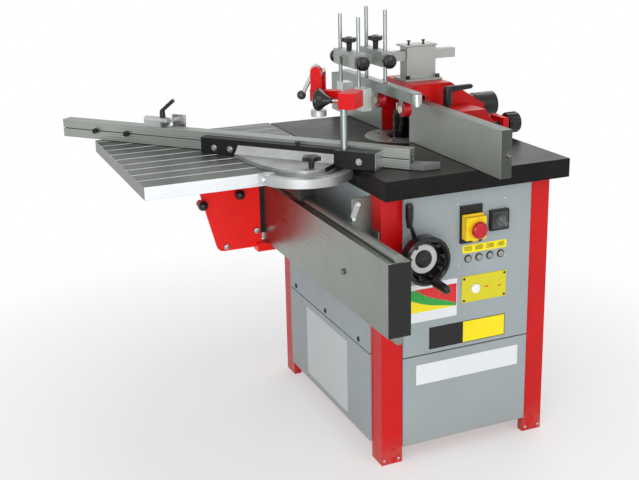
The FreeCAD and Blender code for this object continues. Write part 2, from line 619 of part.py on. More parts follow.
def lift(foot_z):
    """Lift screw and handwheel, joined by a pair of bevel gears."""
    gear_back = size.bevel_radius * 1.5
    thread = rod("z", screw_at, (foot_z + 15.3, wheel_z - gear_back), size.screw_radius)
    tail = rod("z", screw_at, (foot_z, foot_z + 16), size.screw_radius - 2)
    node("lift_screw", fuse(thread, tail, gear_at(0.5, FreeCAD.Rotation())))
    plane = panel_face + size.wheel_stand
    shaft = rod("x", wheel_at, (size.screw_x + gear_back, plane + 4), size.wheel_shaft_radius)
    pinion = gear_at(0, FreeCAD.Rotation(FreeCAD.Vector(0, 1, 0), -90))
    rim, hub = size.wheel_radius, size.hub_radius
    lip = plane + size.wheel_deep
    face = plane + 4
    dish = turned("x", wheel_at, [
        (size.wheel_shaft_radius, plane - 14), (hub, plane - 14), (hub, plane - 6), (rim - 6, plane - 2),
        (rim, plane + 5), (rim, lip - 5), (rim - 4, lip), (rim - 9, lip), (rim - 13, lip - 6),
        (rim - 14, face), (size.wheel_shaft_radius, face)])
    grips = []
    for i in range(SIZES["grip_count"]):
        turn = math.radians(360 * i / SIZES["grip_count"] + 8)
        grips.append(rod("x", (wheel_y + (rim - 17) * math.cos(turn),
                wheel_z + (rim - 17) * math.sin(turn)), (face - 1, lip - 10), 6))
    dial = rod("x", wheel_at, (face, face + size.dial_thick), size.dial_radius)
    plug = turned("x", wheel_at, [(0, face + size.dial_thick), (size.cap_radius, face + size.dial_thick),
            (size.cap_radius - 2, face + size.dial_thick + 4), (8, face + size.dial_thick + 6),
            (0, face + size.dial_thick + 6)])
    turn = math.radians(SIZES["crank_angle"])
    crank = (wheel_y + size.crank_radius * math.cos(turn),
            wheel_z + size.crank_radius * math.sin(turn))
    foot = lip
    end = foot + size.crank_length
    grip = size.crank_grip_radius
    stud = 4
    socket = rod("x", crank, (lip - 22, foot + 5), stud + size.fit_clear)
    node("handwheel", group(cut(fuse(dish, *grips), socket), dial, plug, fuse(shaft, pinion)))
    node("crank_handle", turned("x", crank, [
        (0, lip - 20), (stud, lip - 20), (stud, foot + 0.4), (grip - 2, foot + 0.4), (grip, foot + 9),
        (grip, foot + 45), (grip - 1, end - 8), (grip - 7, end), (0, end)]))
    low = panel_face + size.flange_thick + 0.5
    ring = cut(rod("x", wheel_at, (low, low + 9), size.hub_radius + 5),
               rod("x", wheel_at, (low - 2, low + 12), size.wheel_shaft_radius + 0.3))
    top = table_low - size.lever_room
    neck = top - size.lever_paddle
    lean_y = wheel_y - size.lever_lean
    stem = prism("x", [(wheel_y - 6, wheel_z + 18), (wheel_y + 6, wheel_z + 18),
                       (lean_y + 4, neck + 8), (lean_y - 4, neck + 8)], (low, low + 9))
    grip = size.lever_grip_radius
    handle = turned("z", (low + 4.5, lean_y - 3), [(0, neck), (grip - 4, neck), (grip, neck + 28),
            (grip, top - 8), (grip - 4, top), (0, top)])
    node("lock_lever", fuse(ring, stem, handle))


# Fence line and hood
fence_y0 = size.fence_back
fence_y1 = fence_y0 + size.fence_thick
fence_z0 = size.table_top + size.fence_rise
fence_z1 = fence_z0 + size.fence_high
mouth_x0 = spindle_x - size.fence_mouth / 2
mouth_x1 = spindle_x + size.fence_mouth / 2
hood_x0 = spindle_x - size.hood_width / 2
hood_x1 = spindle_x + size.hood_width / 2
hood_z = size.table_top + size.hood_top
wall_y = fence_y1 + size.slide_clear
port_z = size.table_top + size.port_rise
carrier_x0 = hood_x1 + size.carrier_gap
carrier_x1 = carrier_x0 + size.carrier_long
carrier_z = size.table_top + size.carrier_high
adjust_z = size.table_top + size.adjust_rise
adjust_at = (size.adjust_x, adjust_z)


def fence_plate(x0, x1):
    """An aluminium fence plate with a T-slot along its back."""
    slot_z = fence_z0 + size.fence_high / 2
    slab = prism("x", [(fence_y0, fence_z0), (fence_y1, fence_z0), (fence_y1, fence_z1),
            (fence_y0, fence_z1)],
                 (x0, x1))
    neck = box((x0 - 1, x1 + 1), (fence_y1 - 8, fence_y1 + 1), (slot_z - 7, slot_z + 7))
    deep = box((x0 - 1, x1 + 1), (fence_y1 - 16, fence_y1 - 8), (slot_z - 12, slot_z + 12))
    return cut(slab, neck, deep)


def slot_key(x0, x1):
    """The T-head that holds a fence plate, on the wall behind it."""
    slot_z = fence_z0 + size.fence_high / 2
    gap = size.slide_clear
    neck = box((x0, x1), (fence_y1 - 8 - gap, wall_y + 4), (slot_z - 7 + gap, slot_z + 7 - gap))
    head = box((x0, x1), (fence_y1 - 16 + gap, fence_y1 - 8 - gap),
            (slot_z - 12 + gap, slot_z + 12 - gap))
    return fuse(neck, head)


def fence():
    """Fence plates, the cast hood between them, the adjustable carrier and their controls."""
    low, wall = size.table_top, size.hood_wall
    back, nose = size.hood_back, size.hood_nose
    front = fence_y1 + 22
    roof = fence_z1 + 6

    outer = prism("x", [(front, low), (front, roof), (nose, roof), (nose, roof + 14),
            (nose + 20, hood_z),
                        (spindle_y + 122, hood_z), (back - 12, low + 102), (back, low + 98),
                                (back, low)],
                  (hood_x0, hood_x1))
    hollow = prism("x", [(nose - 10, low - 5), (nose - 10, roof - 1), (front - 1, roof - 1),
            (front - 1, hood_z - wall),
                         (spindle_y + 118, hood_z - wall), (back - 16, low + 94),
                                 (back - wall, low + 90),
                         (back - wall, low - 5)], (hood_x0 + wall, hood_x1 - wall))
    wing_x0 = hood_x0 - size.wing_length
    wing = box((wing_x0, hood_x0 + 2), (wall_y, wall_y + size.wing_wall), (low, low + size.wing_high))
    sole = box((wing_x0, hood_x0 + 2), (wall_y, wall_y + 90), (low, low + 14))
    ledge = box((hood_x1 - 2, size.adjust_x + 26), (size.lug_back, size.lug_back + size.lug_thick),
            (low, adjust_z + 22))
    shelf = box((hood_x0 + 20, size.adjust_x + 26), (back - 4, size.lug_back + size.lug_thick),
            (low, low + 22))
    key = slot_key(wing_x0 + 20, wing_x0 + 150)
    jaw = box((mouth_x0 + size.slide_clear, hood_x0 + wall), (fence_y0 + 2, front + 2), (fence_z0, fence_z1))
    port_hole = rod("y", (spindle_x, port_z), (back - 30, back + 10),
            size.port_radius - size.port_wall - 8)
    screw_hole = rod("y", adjust_at, (size.lug_back - 5, size.lug_back + size.lug_thick + 5),
                     size.knob_screw_radius + size.fit_clear)
    bolts = [hexagon("x", (wall_y + 28, low + 126), (hood_x1, hood_x1 + 6), 7),
             hexagon("x", (wall_y + 28, low + 30), (hood_x1, hood_x1 + 5), 7)]
    casting = cut(fuse(outer, wing, sole, ledge, shelf, key, jaw, *bolts), hollow, port_hole, screw_hole)
    node("fence_hood", casting)
    tube = turned("y", (spindle_x, port_z), [
        (size.port_radius - size.port_wall, back), (size.port_radius - 2, back),
                (size.port_radius - 2, back + 16),
        (size.port_radius, back + 16), (size.port_radius, back + size.port_length),
        (size.port_radius - size.port_wall, back + size.port_length)])
    node("dust_port", tube)
    node("fence_plate_left", fence_plate(mouth_x0 - size.fence_left_length, mouth_x0))
    node("fence_plate_right", fence_plate(mouth_x1, mouth_x1 + size.fence_right_length))
    fence_carrier()


def fence_carrier():
    """Carrier that moves the right plate in and out, its screw knob and its clamp lever."""
    low = size.table_top
    back = size.carrier_back
    shell = prism("x", [(wall_y, low), (wall_y, carrier_z - 8), (wall_y + 8, carrier_z),
            (back - 30, carrier_z),
                        (back, carrier_z - 44), (back, low)], (carrier_x0, carrier_x1))
    hollow = box((carrier_x0 + 8, carrier_x1 - 8), (wall_y + size.wing_wall, back - 16),
            (low - 1, carrier_z - 14))
    screw = rod("y", adjust_at, (back - 30, back + 5), size.knob_screw_radius + size.fit_clear)
    stud = (carrier_x0 + 40, wall_y + 71)
    stud_hole = rod("z", stud, (carrier_z - 20, carrier_z + 5), 6.05)
    key = slot_key(carrier_x0 + 4, carrier_x1 - 4)
    node("fence_carrier", cut(fuse(shell, key), hollow, screw, stud_hole))
    head = size.lug_back + size.lug_thick + 4
    long, radius = size.adjust_length, size.adjust_radius
    shaft = rod("y", adjust_at, (back - 14, head + 2), size.knob_screw_radius)
    knob = rod("y", adjust_at, (head, head + long), radius - 3)
    collar = rod("y", adjust_at, (head - 3.5, head), size.knob_screw_radius + 6)
    ribs = []
    for i in range(12):
        turn = math.radians(30 * i)
        ribs.append(rod("y", (size.adjust_x + (radius - 5) * math.cos(turn),
                adjust_z + (radius - 5) * math.sin(turn)),
                        (head + 6, head + long - 6), 5))
    node("adjust_knob", fuse(shaft, collar, knob, *ribs))
    top = carrier_z + 0.4
    post = turned("z", stud, [(0, top - 14), (6, top - 14), (6, top + 10), (14, top + 10), (13, top + 58),
            (9, top + 68), (0, top + 70)])
    sweep = prism("x", [(stud[1], top + 50), (stud[1] + 80, top + 56), (stud[1] + 86, top + 63),
            (stud[1] + 80, top + 69), (stud[1], top + 68)], (stud[0] - 7, stud[0] + 7))
    node("fence_lever", fuse(post, sweep))


# Hold-down
tube_z = size.table_top + size.tube_rise
tube_half = size.tube_size / 2
block_z0 = tube_z - size.block_drop
block_z1 = block_z0 + size.block_high
rod_x = (spindle_x - size.rod_pitch / 2, spindle_x + size.rod_pitch / 2)
block_x = (spindle_x - size.block_length / 2, spindle_x + size.block_length / 2)


def star_knob(axis_at, low, radius, stem):
    """A star knob that points up, on its stud."""
    x, y = axis_at
    head = low + stem
    arms = []
    for i in range(5):
        turn = math.radians(72 * i + 18)
        arms.append(rod("z", (x + (radius - 6) * math.cos(turn), y + (radius - 6) * math.sin(turn)),
                (head + 2, head + 14), 7))
    core = turned("z", (x, y), [(0, low - 12), (4, low - 12), (4, low), (8, low), (9, head - 2),
            (radius - 5, head + 2), (radius - 5, head + 14), (7, head + 18), (0, head + 18)])
    return fuse(core, *arms)


def round_knob(side, y, z):
    """A round clamp knob on one end of a clamp block, side +1 or -1 along X."""
    start = block_x[1] if side > 0 else block_x[0]

    def at(step):
        return start + step * side

    r = size.dish_radius
    tip = (size.rod_pitch - size.block_length) / 2 + size.rod_radius + size.rod_gap
    points = [(0, at(tip)), (4, at(tip)), (4, at(0.4)), (9, at(0.4)), (10, at(8)), (r - 2, at(14)),
            (r, at(18)), (r - 1, at(24)), (r - 6, at(28)), (0, at(30))]
    return turned("x", (y, z), points)


def clamp_block(y):
    """A block on the tube that holds two rods, with holes for its clamp screws."""
    ys = (y - size.block_depth / 2, y + size.block_depth / 2)
    body = box(block_x, ys, (block_z0, block_z1))
    holes = [box((spindle_x - tube_half, spindle_x + tube_half), (ys[0] - 1, ys[1] + 1),
                 (tube_z - tube_half, tube_z + tube_half))]
    for x in rod_x:
        holes.append(rod("z", (x, y), (block_z0 - 1, block_z1 + 1), size.rod_radius + size.fit_clear))
    holes.append(rod("z", (spindle_x, y), (block_z1 - 16, block_z1 + 1), 4 + size.fit_clear))
    for end, step in ((block_x[0], 1), (block_x[1], -1)):
        holes.append(rod("x", (y, tube_z), tuple(sorted((end - step, end + step * 13), key=float)),
                4 + size.fit_clear))
    return cut(body, *holes)


def hold_down():
    """Tube bracket on the hood, the tube with its blocks, presser shoe and roller beam."""
    half = size.bracket_width / 2
    front, back = size.bracket_front, size.bracket_front + size.bracket_depth
    base_top = hood_z + size.bracket_flange
    top = hood_z + size.bracket_high
    flange = box((spindle_x - half - 14, spindle_x + half + 22), (front - 16, back + 12),
            (hood_z, base_top))
    body = box((spindle_x - half, spindle_x + half), (front, back), (base_top - 1, top))
    gap = tube_half + 0.3
    way = box((spindle_x - gap, spindle_x + gap), (front - 5, back + 5), (tube_z - gap, tube_z + gap))
    lid_top = top + size.bracket_lid
    lid = box((spindle_x - half - 3, spindle_x + half + 3), (front - size.lid_lip, back + 3),
            (top, lid_top))
    screws = [turned("z", (spindle_x + half - 9, y), [
        (0, lid_top), (5, lid_top), (3, lid_top + 3), (3, lid_top + size.screw_high - 5),
        (6, lid_top + size.screw_high - 4), (6, lid_top + size.screw_high), (0, lid_top + size.screw_high)])
        for y in (front + 9, back - 40)]
    bolts = [hexagon("z", (spindle_x + half + 12, y), (base_top, base_top + size.bolt_high), 7)
             for y in (front - 4, back)]
    node("tube_bracket", group(cut(fuse(flange, body), way), lid, *screws, *bolts))
    bar = box((spindle_x - tube_half, spindle_x + tube_half), (-size.tube_front, size.tube_back),
              (tube_z - tube_half, tube_z + tube_half))
    inner = tube_half - 2.5
    bore = box((spindle_x - inner, spindle_x + inner), (-size.tube_front - 1, size.tube_back + 1),
            (tube_z - inner, tube_z + inner))
    a_y, b_y = -size.block_a_front, -size.block_b_front
    node("hold_tube", group(cut(bar, bore), clamp_block(a_y), clamp_block(b_y)))
    node("star_knob_front", star_knob((spindle_x, a_y), block_z1 + 0.4, size.star_radius, size.star_stem))
    node("star_knob_rear", star_knob((spindle_x, b_y), block_z1 + 0.4, size.star_radius, size.star_stem))
    node("round_knob_front_left", round_knob(-1, a_y, tube_z))
    node("round_knob_front_right", round_knob(1, a_y, tube_z))
    node("round_knob_rear", round_knob(1, b_y, tube_z))
    shoe_z = size.table_top + size.shoe_low
    shoe_top = shoe_z + size.shoe_high
    rods = [rod("z", (x, a_y), (shoe_z + 30, size.table_top + size.rod_a_top),
            size.rod_radius) for x in rod_x]
    ski = box((rod_x[0] - size.shoe_reach, rod_x[1] + size.shoe_reach), (a_y - 6, a_y + size.shoe_back - 8),
            (shoe_z, shoe_z + size.ski_high))
    pads = [box((x - 16, x + size.shoe_reach), (a_y - 6, a_y + size.shoe_back), (shoe_z, shoe_top))
            for x in rod_x]
    node("presser_shoe", fuse(ski, *pads, *rods))
    beam_z = size.table_top + size.beam_low
    beam_top = beam_z + size.beam_high
    depth = (b_y - size.beam_depth / 2, b_y + size.beam_depth / 2)
    rods = [rod("z", (x, b_y), (beam_z + 4, size.table_top + size.rod_b_top),
            size.rod_radius) for x in rod_x]
    body = box((-size.beam_left, size.beam_right), depth, (beam_z, beam_top))
    end = rod("z", (size.beam_right, b_y), (beam_z - 6, beam_top - 3), size.beam_depth / 2 - 1)
    ears = []
    axle_z = beam_z - size.roller_drop
    for x in (size.roller_left_x, size.roller_right_x):
        for y in ((depth[0], depth[0] + 3), (depth[1] - 3, depth[1])):
            ears.append(box((x - 10, x + 10), y, (axle_z - 8, beam_z + 2)))
        ears.append(rod("y", (x, axle_z), depth, size.axle_radius))
        ears.append(rod("y", (x, axle_z), (depth[0] - 4, depth[0] + 1), size.roller_hub))
    node("roller_beam", fuse(body, end, *ears, *rods))
    for name, x in (("roller_left", size.roller_left_x), ("roller_right", size.roller_right_x)):
        span = (b_y - size.roller_width / 2, b_y + size.roller_width / 2)
        node(name, cut(rod("y", (x, axle_z), span, size.roller_radius),
                       rod("y", (x, axle_z), span, size.axle_radius + size.fit_clear)))


# Sliding table and its guide
slide_x0 = -size.slide_left
slide_x1 = size.slide_right
slide_y0 = -size.slide_front
slide_y1 = table_y0 - size.slide_gap
slide_low = size.table_top - size.slide_thick
rail_y1 = -half_d - size.rail_stand
rail_y0 = rail_y1 - size.rail_depth
rail_mid = (rail_y0 + rail_y1) / 2
rail_top = size.rail_low + size.rail_high
rod_high = rail_top + size.rail_rod_radius - size.rail_rod_sink
rod_low = size.rail_low - size.rail_rod_radius + size.rail_rod_sink
pivot = (size.pivot_x, -size.pivot_front)


def guide_beam():
    """Aluminium beam in front of the cabinet, with its two rods, end caps and brackets."""
    span = (-size.rail_left, size.rail_right)
    wall = size.rail_wall
    shell = box(span, (rail_y0, rail_y1), (size.rail_low, rail_top))
    web = size.rail_low + size.rail_high / 2
    over = (span[0] - 1, span[1] + 1)
    low_cell = box(over, (rail_y0 + wall, rail_y1 - wall), (size.rail_low + 4 * wall, web - wall / 2))
    high_cell = box(over, (rail_y0 + wall, rail_y1 - wall), (web + wall / 2, rail_top - 4 * wall))
    grooves = [rod("x", (rail_mid, z), over, size.rail_rod_radius) for z in (rod_low, rod_high)]
    node("guide_beam", cut(shell, low_cell, high_cell, *grooves))
    rods = [rod("x", (rail_mid, z), span, size.rail_rod_radius) for z in (rod_low, rod_high)]
    caps = [box(xs, (rail_y0, rail_y1), (size.rail_low + 2, rail_top - 2)) for xs in (
        (span[0] - size.cap_thick, span[0]), (span[1], span[1] + size.cap_thick))]
    sheet_thick = size.rail_bracket_sheet
    zs = (size.rail_bracket_low, size.rail_bracket_low + size.rail_bracket_high)
    brackets = []
    bolts = []
    for side in (-1, 1):
        near, far = (half_w - size.post_width + 4) * side, (half_w - 6) * side
        edge = near + sheet_thick * side
        points = [(near, rail_y1), (far, rail_y1), (far, rail_y1 + sheet_thick),
                (edge, rail_y1 + sheet_thick),
                  (edge, -half_d - sheet_thick), (far, -half_d - sheet_thick), (far, -half_d),
                          (near, -half_d)]
        web_x = tuple(sorted((near, edge), key=float))
        tall_web = box(web_x, (rail_y1, -half_d), (rail_top - 30, table_low - size.rail_bracket_gap))
        brackets.append(fuse(prism("z", points, (zs[0], rail_top - 20)), tall_web))
        for z in (zs[0] + 26, rail_top - 46):
            bolts.append(hexagon("y", ((near + far) / 2 + 8 * side, z),
                    (-half_d - sheet_thick - 6, -half_d - sheet_thick), 8))
    bolts.append(hexagon("y", (half_w + 20, web - 6), (rail_y0 - 6, rail_y0), 9))
    bolts.append(rod("z", (half_w + 104, rail_y1 - 9), (rail_top, rail_top + 5), 6))
    node("beam_fittings", group(*rods, *caps, *brackets, *bolts))


def sliding_table():
    """Ribbed aluminium table, the cast quadrant at its end and the carriage that hangs it on the beam."""
    top, wall = size.table_top, size.slide_wall
    slab = box((slide_x0, slide_x1), (slide_y0, slide_y1), (slide_low, top))
    hollow_z = (slide_low - 5, top - size.slide_skin)
    cuts = []
    cuts += pockets((slide_x0 + wall, slide_x1 - 70), (slide_y0 + wall, rail_y0 - 30), hollow_z, 6, 4,
            wall)
    count = int((SIZES["slide_left"] + SIZES["slide_right"] - 60) // SIZES["groove_pitch"]) + 1
    for i in range(count):
        x = slide_x1 - size.groove_first - size.groove_pitch * i
        cuts.append(box((x, x + size.groove_width), (slide_y0 - 1, slide_y1 + 1),
                (top - size.groove_deep, top + 5)))
    cuts.append(rod("z", pivot, (top - 14, top + 5), 12 + size.fit_clear))
    node("sliding_table", cut(slab, *cuts))
    cap = top - 0.4
    disc = rod("z", pivot, (cap - size.quadrant_rim, cap), size.quadrant_radius)
    recess = cut(rod("z", pivot, (cap - 8, cap + 5), size.quadrant_radius - 26),
                 rod("z", pivot, (cap - 8, cap + 5), size.quadrant_radius - 50))
    below = rod("z", pivot, (cap - size.quadrant_rim - 5, cap - 14), size.quadrant_radius - 10)
    behind = box((slide_x1 - 400, slide_x1), (pivot[1] - 300, pivot[1] + 300), (cap - 80, cap + 20))
    boss = cut(rod("z", (slide_x1 + 20, pivot[1] - 118), (cap - size.quadrant_rim, cap + 4), 15),
            behind)
    edge = box((slide_x1 - 5, slide_x1 + 400), (slide_y1, slide_y1 + 300), (cap - 80, cap + 20))
    pin_hole = rod("z", pivot, (cap - 40, cap + 5), 12 + size.fit_clear)
    node("quadrant", fuse(cut(disc, recess, below, behind, edge, pin_hole), boss))
    plate_x = (-size.carriage_x, -size.carriage_x + size.carriage_sheet)
    front, back = rail_y0 - size.carriage_front, rail_y0 - size.carriage_gap
    low = size.carriage_low
    tip, corner = front + size.carriage_slant, size.carriage_corner
    plate = prism("x", [(front, slide_low), (back, slide_low), (back, low), (tip + corner, low),
            (tip + corner * 0.42, low + corner * 0.1), (tip, low + corner * 0.44),
            (tip - corner * 0.25, low + corner * 0.97)], plate_x)
    tab = rod("x", plunger_places()[0], plate_x, 12)
    flange = box((plate_x[0], plate_x[0] + 90), (front + 10, back), (slide_low - 8, slide_low))
    lower = box((plate_x[0] - 16, plate_x[1] + 16), (back - 20, rail_mid + 20), (low - 14, rod_low))
    lower_bore = rod("x", (rail_mid, rod_low), (plate_x[0] - 30, plate_x[1] + 30),
                     size.rail_rod_radius + size.shoe_bore_clear)
    pins = [rod("x", at, (plate_x[0] - 2, plate_x[1] + 2),
            5 + size.fit_clear) for at in plunger_places()]
    bolts = [hexagon("x", at, (plate_x[1], plate_x[1] + 6), 8) for at in ((back - 18, low + 54),
            (back - 120, low + 14))]
    pieces = [cut(fuse(plate, tab, flange, lower, *bolts), lower_bore, *pins)]
    for x in (slide_x0 + 80, slide_x1 - 160):
        block = box((x, x + 70), (rail_mid - 22, rail_mid + 22), (rod_high, slide_low))
        pieces.append(cut(block, rod("x", (rail_mid, rod_high), (x - 1, x + 71),
                size.rail_rod_radius + size.shoe_bore_clear)))
    node("carriage", group(*pieces))
    for name, at in zip(("plunger_front", "plunger_rear"), plunger_places()):
        stem = rod("x", at, (plate_x[0] - 6, plate_x[1] + 16), 5)
        collar = rod("x", at, (plate_x[1] + 0.4, plate_x[1] + 14), 9)
        head = cut(ball(plate_x[1] + 26, at[0], at[1], size.ball_radius),
                box((plate_x[1], plate_x[1] + 13), (at[0] - 40, at[0] + 40), (at[1] - 40, at[1] + 40)))
        node(name, fuse(stem, collar, head))


def plunger_places():
    """Where the two index plungers pass through the carriage plate, in Y, Z."""
    front = rail_y0 - size.carriage_front
    return ((front + 30, slide_low - 145), (front + 151, slide_low - 125))


def turn_mitre(made):
    """Carries a piece from the mitre's own frame to its set angle about the pivot."""
    made = group(made)
    made.Placement = FreeCAD.Placement(FreeCAD.Vector(0, 0, 0),
                                       FreeCAD.Rotation(FreeCAD.Vector(0, 0, 1), SIZES["mitre_angle"]))
    bind(made, "Placement.Base.x", pivot[0])
    bind(made, "Placement.Base.y", pivot[1])
    bind(made, "Placement.Rotation.Angle", size.mitre_angle)
    return made


# Mitre fence, in its own frame: X along the fence, the pivot at X = Y = 0
face = size.mitre_face
back_face = face + size.mitre_depth
mitre_z0 = size.table_top + size.mitre_lift
mitre_z1 = mitre_z0 + size.mitre_high
seg_low = size.table_top + 0.4
seg_top = seg_low + size.segment_thick
bar_top = size.table_top + size.bar_high
holder_top = size.table_top + size.holder_high
clamp_at = (size.clamp_x, size.clamp_side)
arm_z0 = size.table_top + size.arm_low
arm_z1 = arm_z0 + size.arm_high
tower_z = arm_z1 + size.tower_high


def mitre_fence():
    """Carrier on the quadrant, the fence profile that slides along it, its stop and its knob."""
    front = face - size.slide_clear
    segment = prism("z", [(-245, front), (size.bar_right, front), (size.bar_right, -26), (70, -58),
            (48, -79), (16, -89), (-26, -88), (-62, -78), (-99, -64), (-170, -22), (-245, 34)],
            (seg_low, seg_top))
    pin = rod("z", (0, 0), (seg_low - 13, seg_low + 2), 12)
    bar = box((-size.bar_left, size.bar_right), (face - size.bar_depth, front), (seg_top - 1, bar_top))
    heel = box((-size.bar_left, -size.bar_left + 120), (face - size.bar_depth, front),
            (seg_low + 0.6, seg_top))
    holder = box((size.bar_right - 2, size.holder_right), (face - size.holder_depth, front),
            (seg_low + 0.6, holder_top))
    block = prism("x", [(face - size.bar_depth + 1, seg_top - 1), (face - size.bar_depth + 1, seg_top + 22),
            (face - size.bar_depth - 5, seg_top + 22), (face - size.bar_depth - 25, seg_top - 1)],
            (-235, size.bar_right))
    slot_z = mitre_z0 + size.mitre_high / 2
    half = size.mitre_slot / 2 - size.slide_clear
    key = box((-size.bar_left + 20, size.bar_right - 20), (front - 2, face + 6),
            (slot_z - half, slot_z + half))
    post_hole = rod("z", clamp_at, (holder_top - 34, holder_top + 1),
            size.clamp_radius + size.fit_clear)
    knob_at = (size.mitre_knob_x, -size.mitre_knob_front)
    knob_hole = rod("z", knob_at, (seg_low - 1, seg_top + 1), 4 + size.fit_clear)
    node("mitre_carrier", turn_mitre(cut(fuse(segment, block, pin, bar, heel, holder, key), post_hole,
            knob_hole)))
    x0, x1 = -size.mitre_left, size.mitre_right
    slot, deep = size.mitre_slot / 2, 8
    middle = (face + back_face) / 2
    section = [(face, mitre_z0), (back_face, mitre_z0), (back_face, slot_z - slot),
            (back_face - deep, slot_z - slot),
               (back_face - deep, slot_z + slot), (back_face, slot_z + slot), (back_face, mitre_z1),
               (middle + slot, mitre_z1), (middle + slot, mitre_z1 - deep),
                       (middle - slot, mitre_z1 - deep),
               (middle - slot, mitre_z1), (face, mitre_z1), (face, slot_z + slot),
                       (face + deep, slot_z + slot),
               (face + deep, slot_z - slot), (face, slot_z - slot)]
    wall = size.mitre_wall
    core = box((x0 - 1, x1 + 1), (face + deep + wall, back_face - deep - wall),
            (mitre_z0 + wall, slot_z + slot + 4))
    profile = cut(prism("x", section, (x0, x1)), core)
    bolts = [fuse(hexagon("y", (x, slot_z), (face - 12, face), 9),
            rod("y", (x, slot_z), (face - 1, face + deep), slot - 0.5))
             for x in (x0 + 130, x0 + 248)]
    wedge = prism("z", [(x1, face + 4), (x1 + 40, face + 6), (x1 + 74, back_face + 6),
            (x1 + 66, back_face + 18), (x1, back_face)], (mitre_z0 - 1, mitre_z0 + 16))
    node("mitre_fence", turn_mitre(group(profile, *bolts, wedge)))
    node("mitre_knob", turn_mitre(star_knob(knob_at, seg_top + 0.4, size.mitre_knob_radius,
            size.mitre_knob_stem)))
    x0 = size.stop_x - size.stop_length / 2
    x1 = size.stop_x + size.stop_length / 2
    axis = (middle, mitre_z1 + size.stop_radius + 4)
    drum = rod("x", axis, (x0, x1), size.stop_radius)
    sole = box((x0 + 6, x1 - 6), (face + 2, back_face - 2), (mitre_z1 + 0.4, axis[1]))
    tongue = box((x0 + 6, x1 - 6), (middle - slot + 0.4, middle + slot - 0.4),
            (mitre_z1 - deep + 1, mitre_z1 + 2))
    stub = rod("x", axis, (x1 - 1, x1 + 15), 7)
    lever_at = (size.stop_x + 27, middle)
    lever_hole = rod("z", lever_at, (axis[1] - 1, axis[1] + 30), 5 + size.fit_clear)
    node("stop_block", turn_mitre(cut(fuse(drum, sole, tongue, stub), lever_hole)))
    ring = cut(rod("x", axis, (x1 + 0.4, x1 + 13), size.stop_radius),
            rod("x", axis, (x1 - 2, x1 + 16), 7 + size.fit_clear))
    web = box((x1 + 0.4, x1 + 13), (middle + 10, back_face + 20), (axis[1] - 6, axis[1] + 6))
    flag = box((x1 + 0.4, x1 + 46), (back_face + 19, back_face + 26),
            (mitre_z0 + 18, mitre_z1 + size.flag_rise))
    node("stop_plate", turn_mitre(fuse(ring, web, flag)))
    top = axis[1] + size.stop_radius
    post = turned("z", lever_at, [(0, top - 12), (5, top - 12), (5, top + 0.5), (9, top + 0.5),
            (8, top + 20), (0, top + 22)])
    handle = prism("y", [(top + 8, lever_at[0]), (top + 20, lever_at[0] + 8),
            (top + 50, lever_at[0] + 46),
                         (top + 58, lever_at[0] + 40), (top + 22, lever_at[0] - 4)],
                                 (middle - 5, middle + 5))
    node("stop_lever", turn_mitre(fuse(post, handle)))


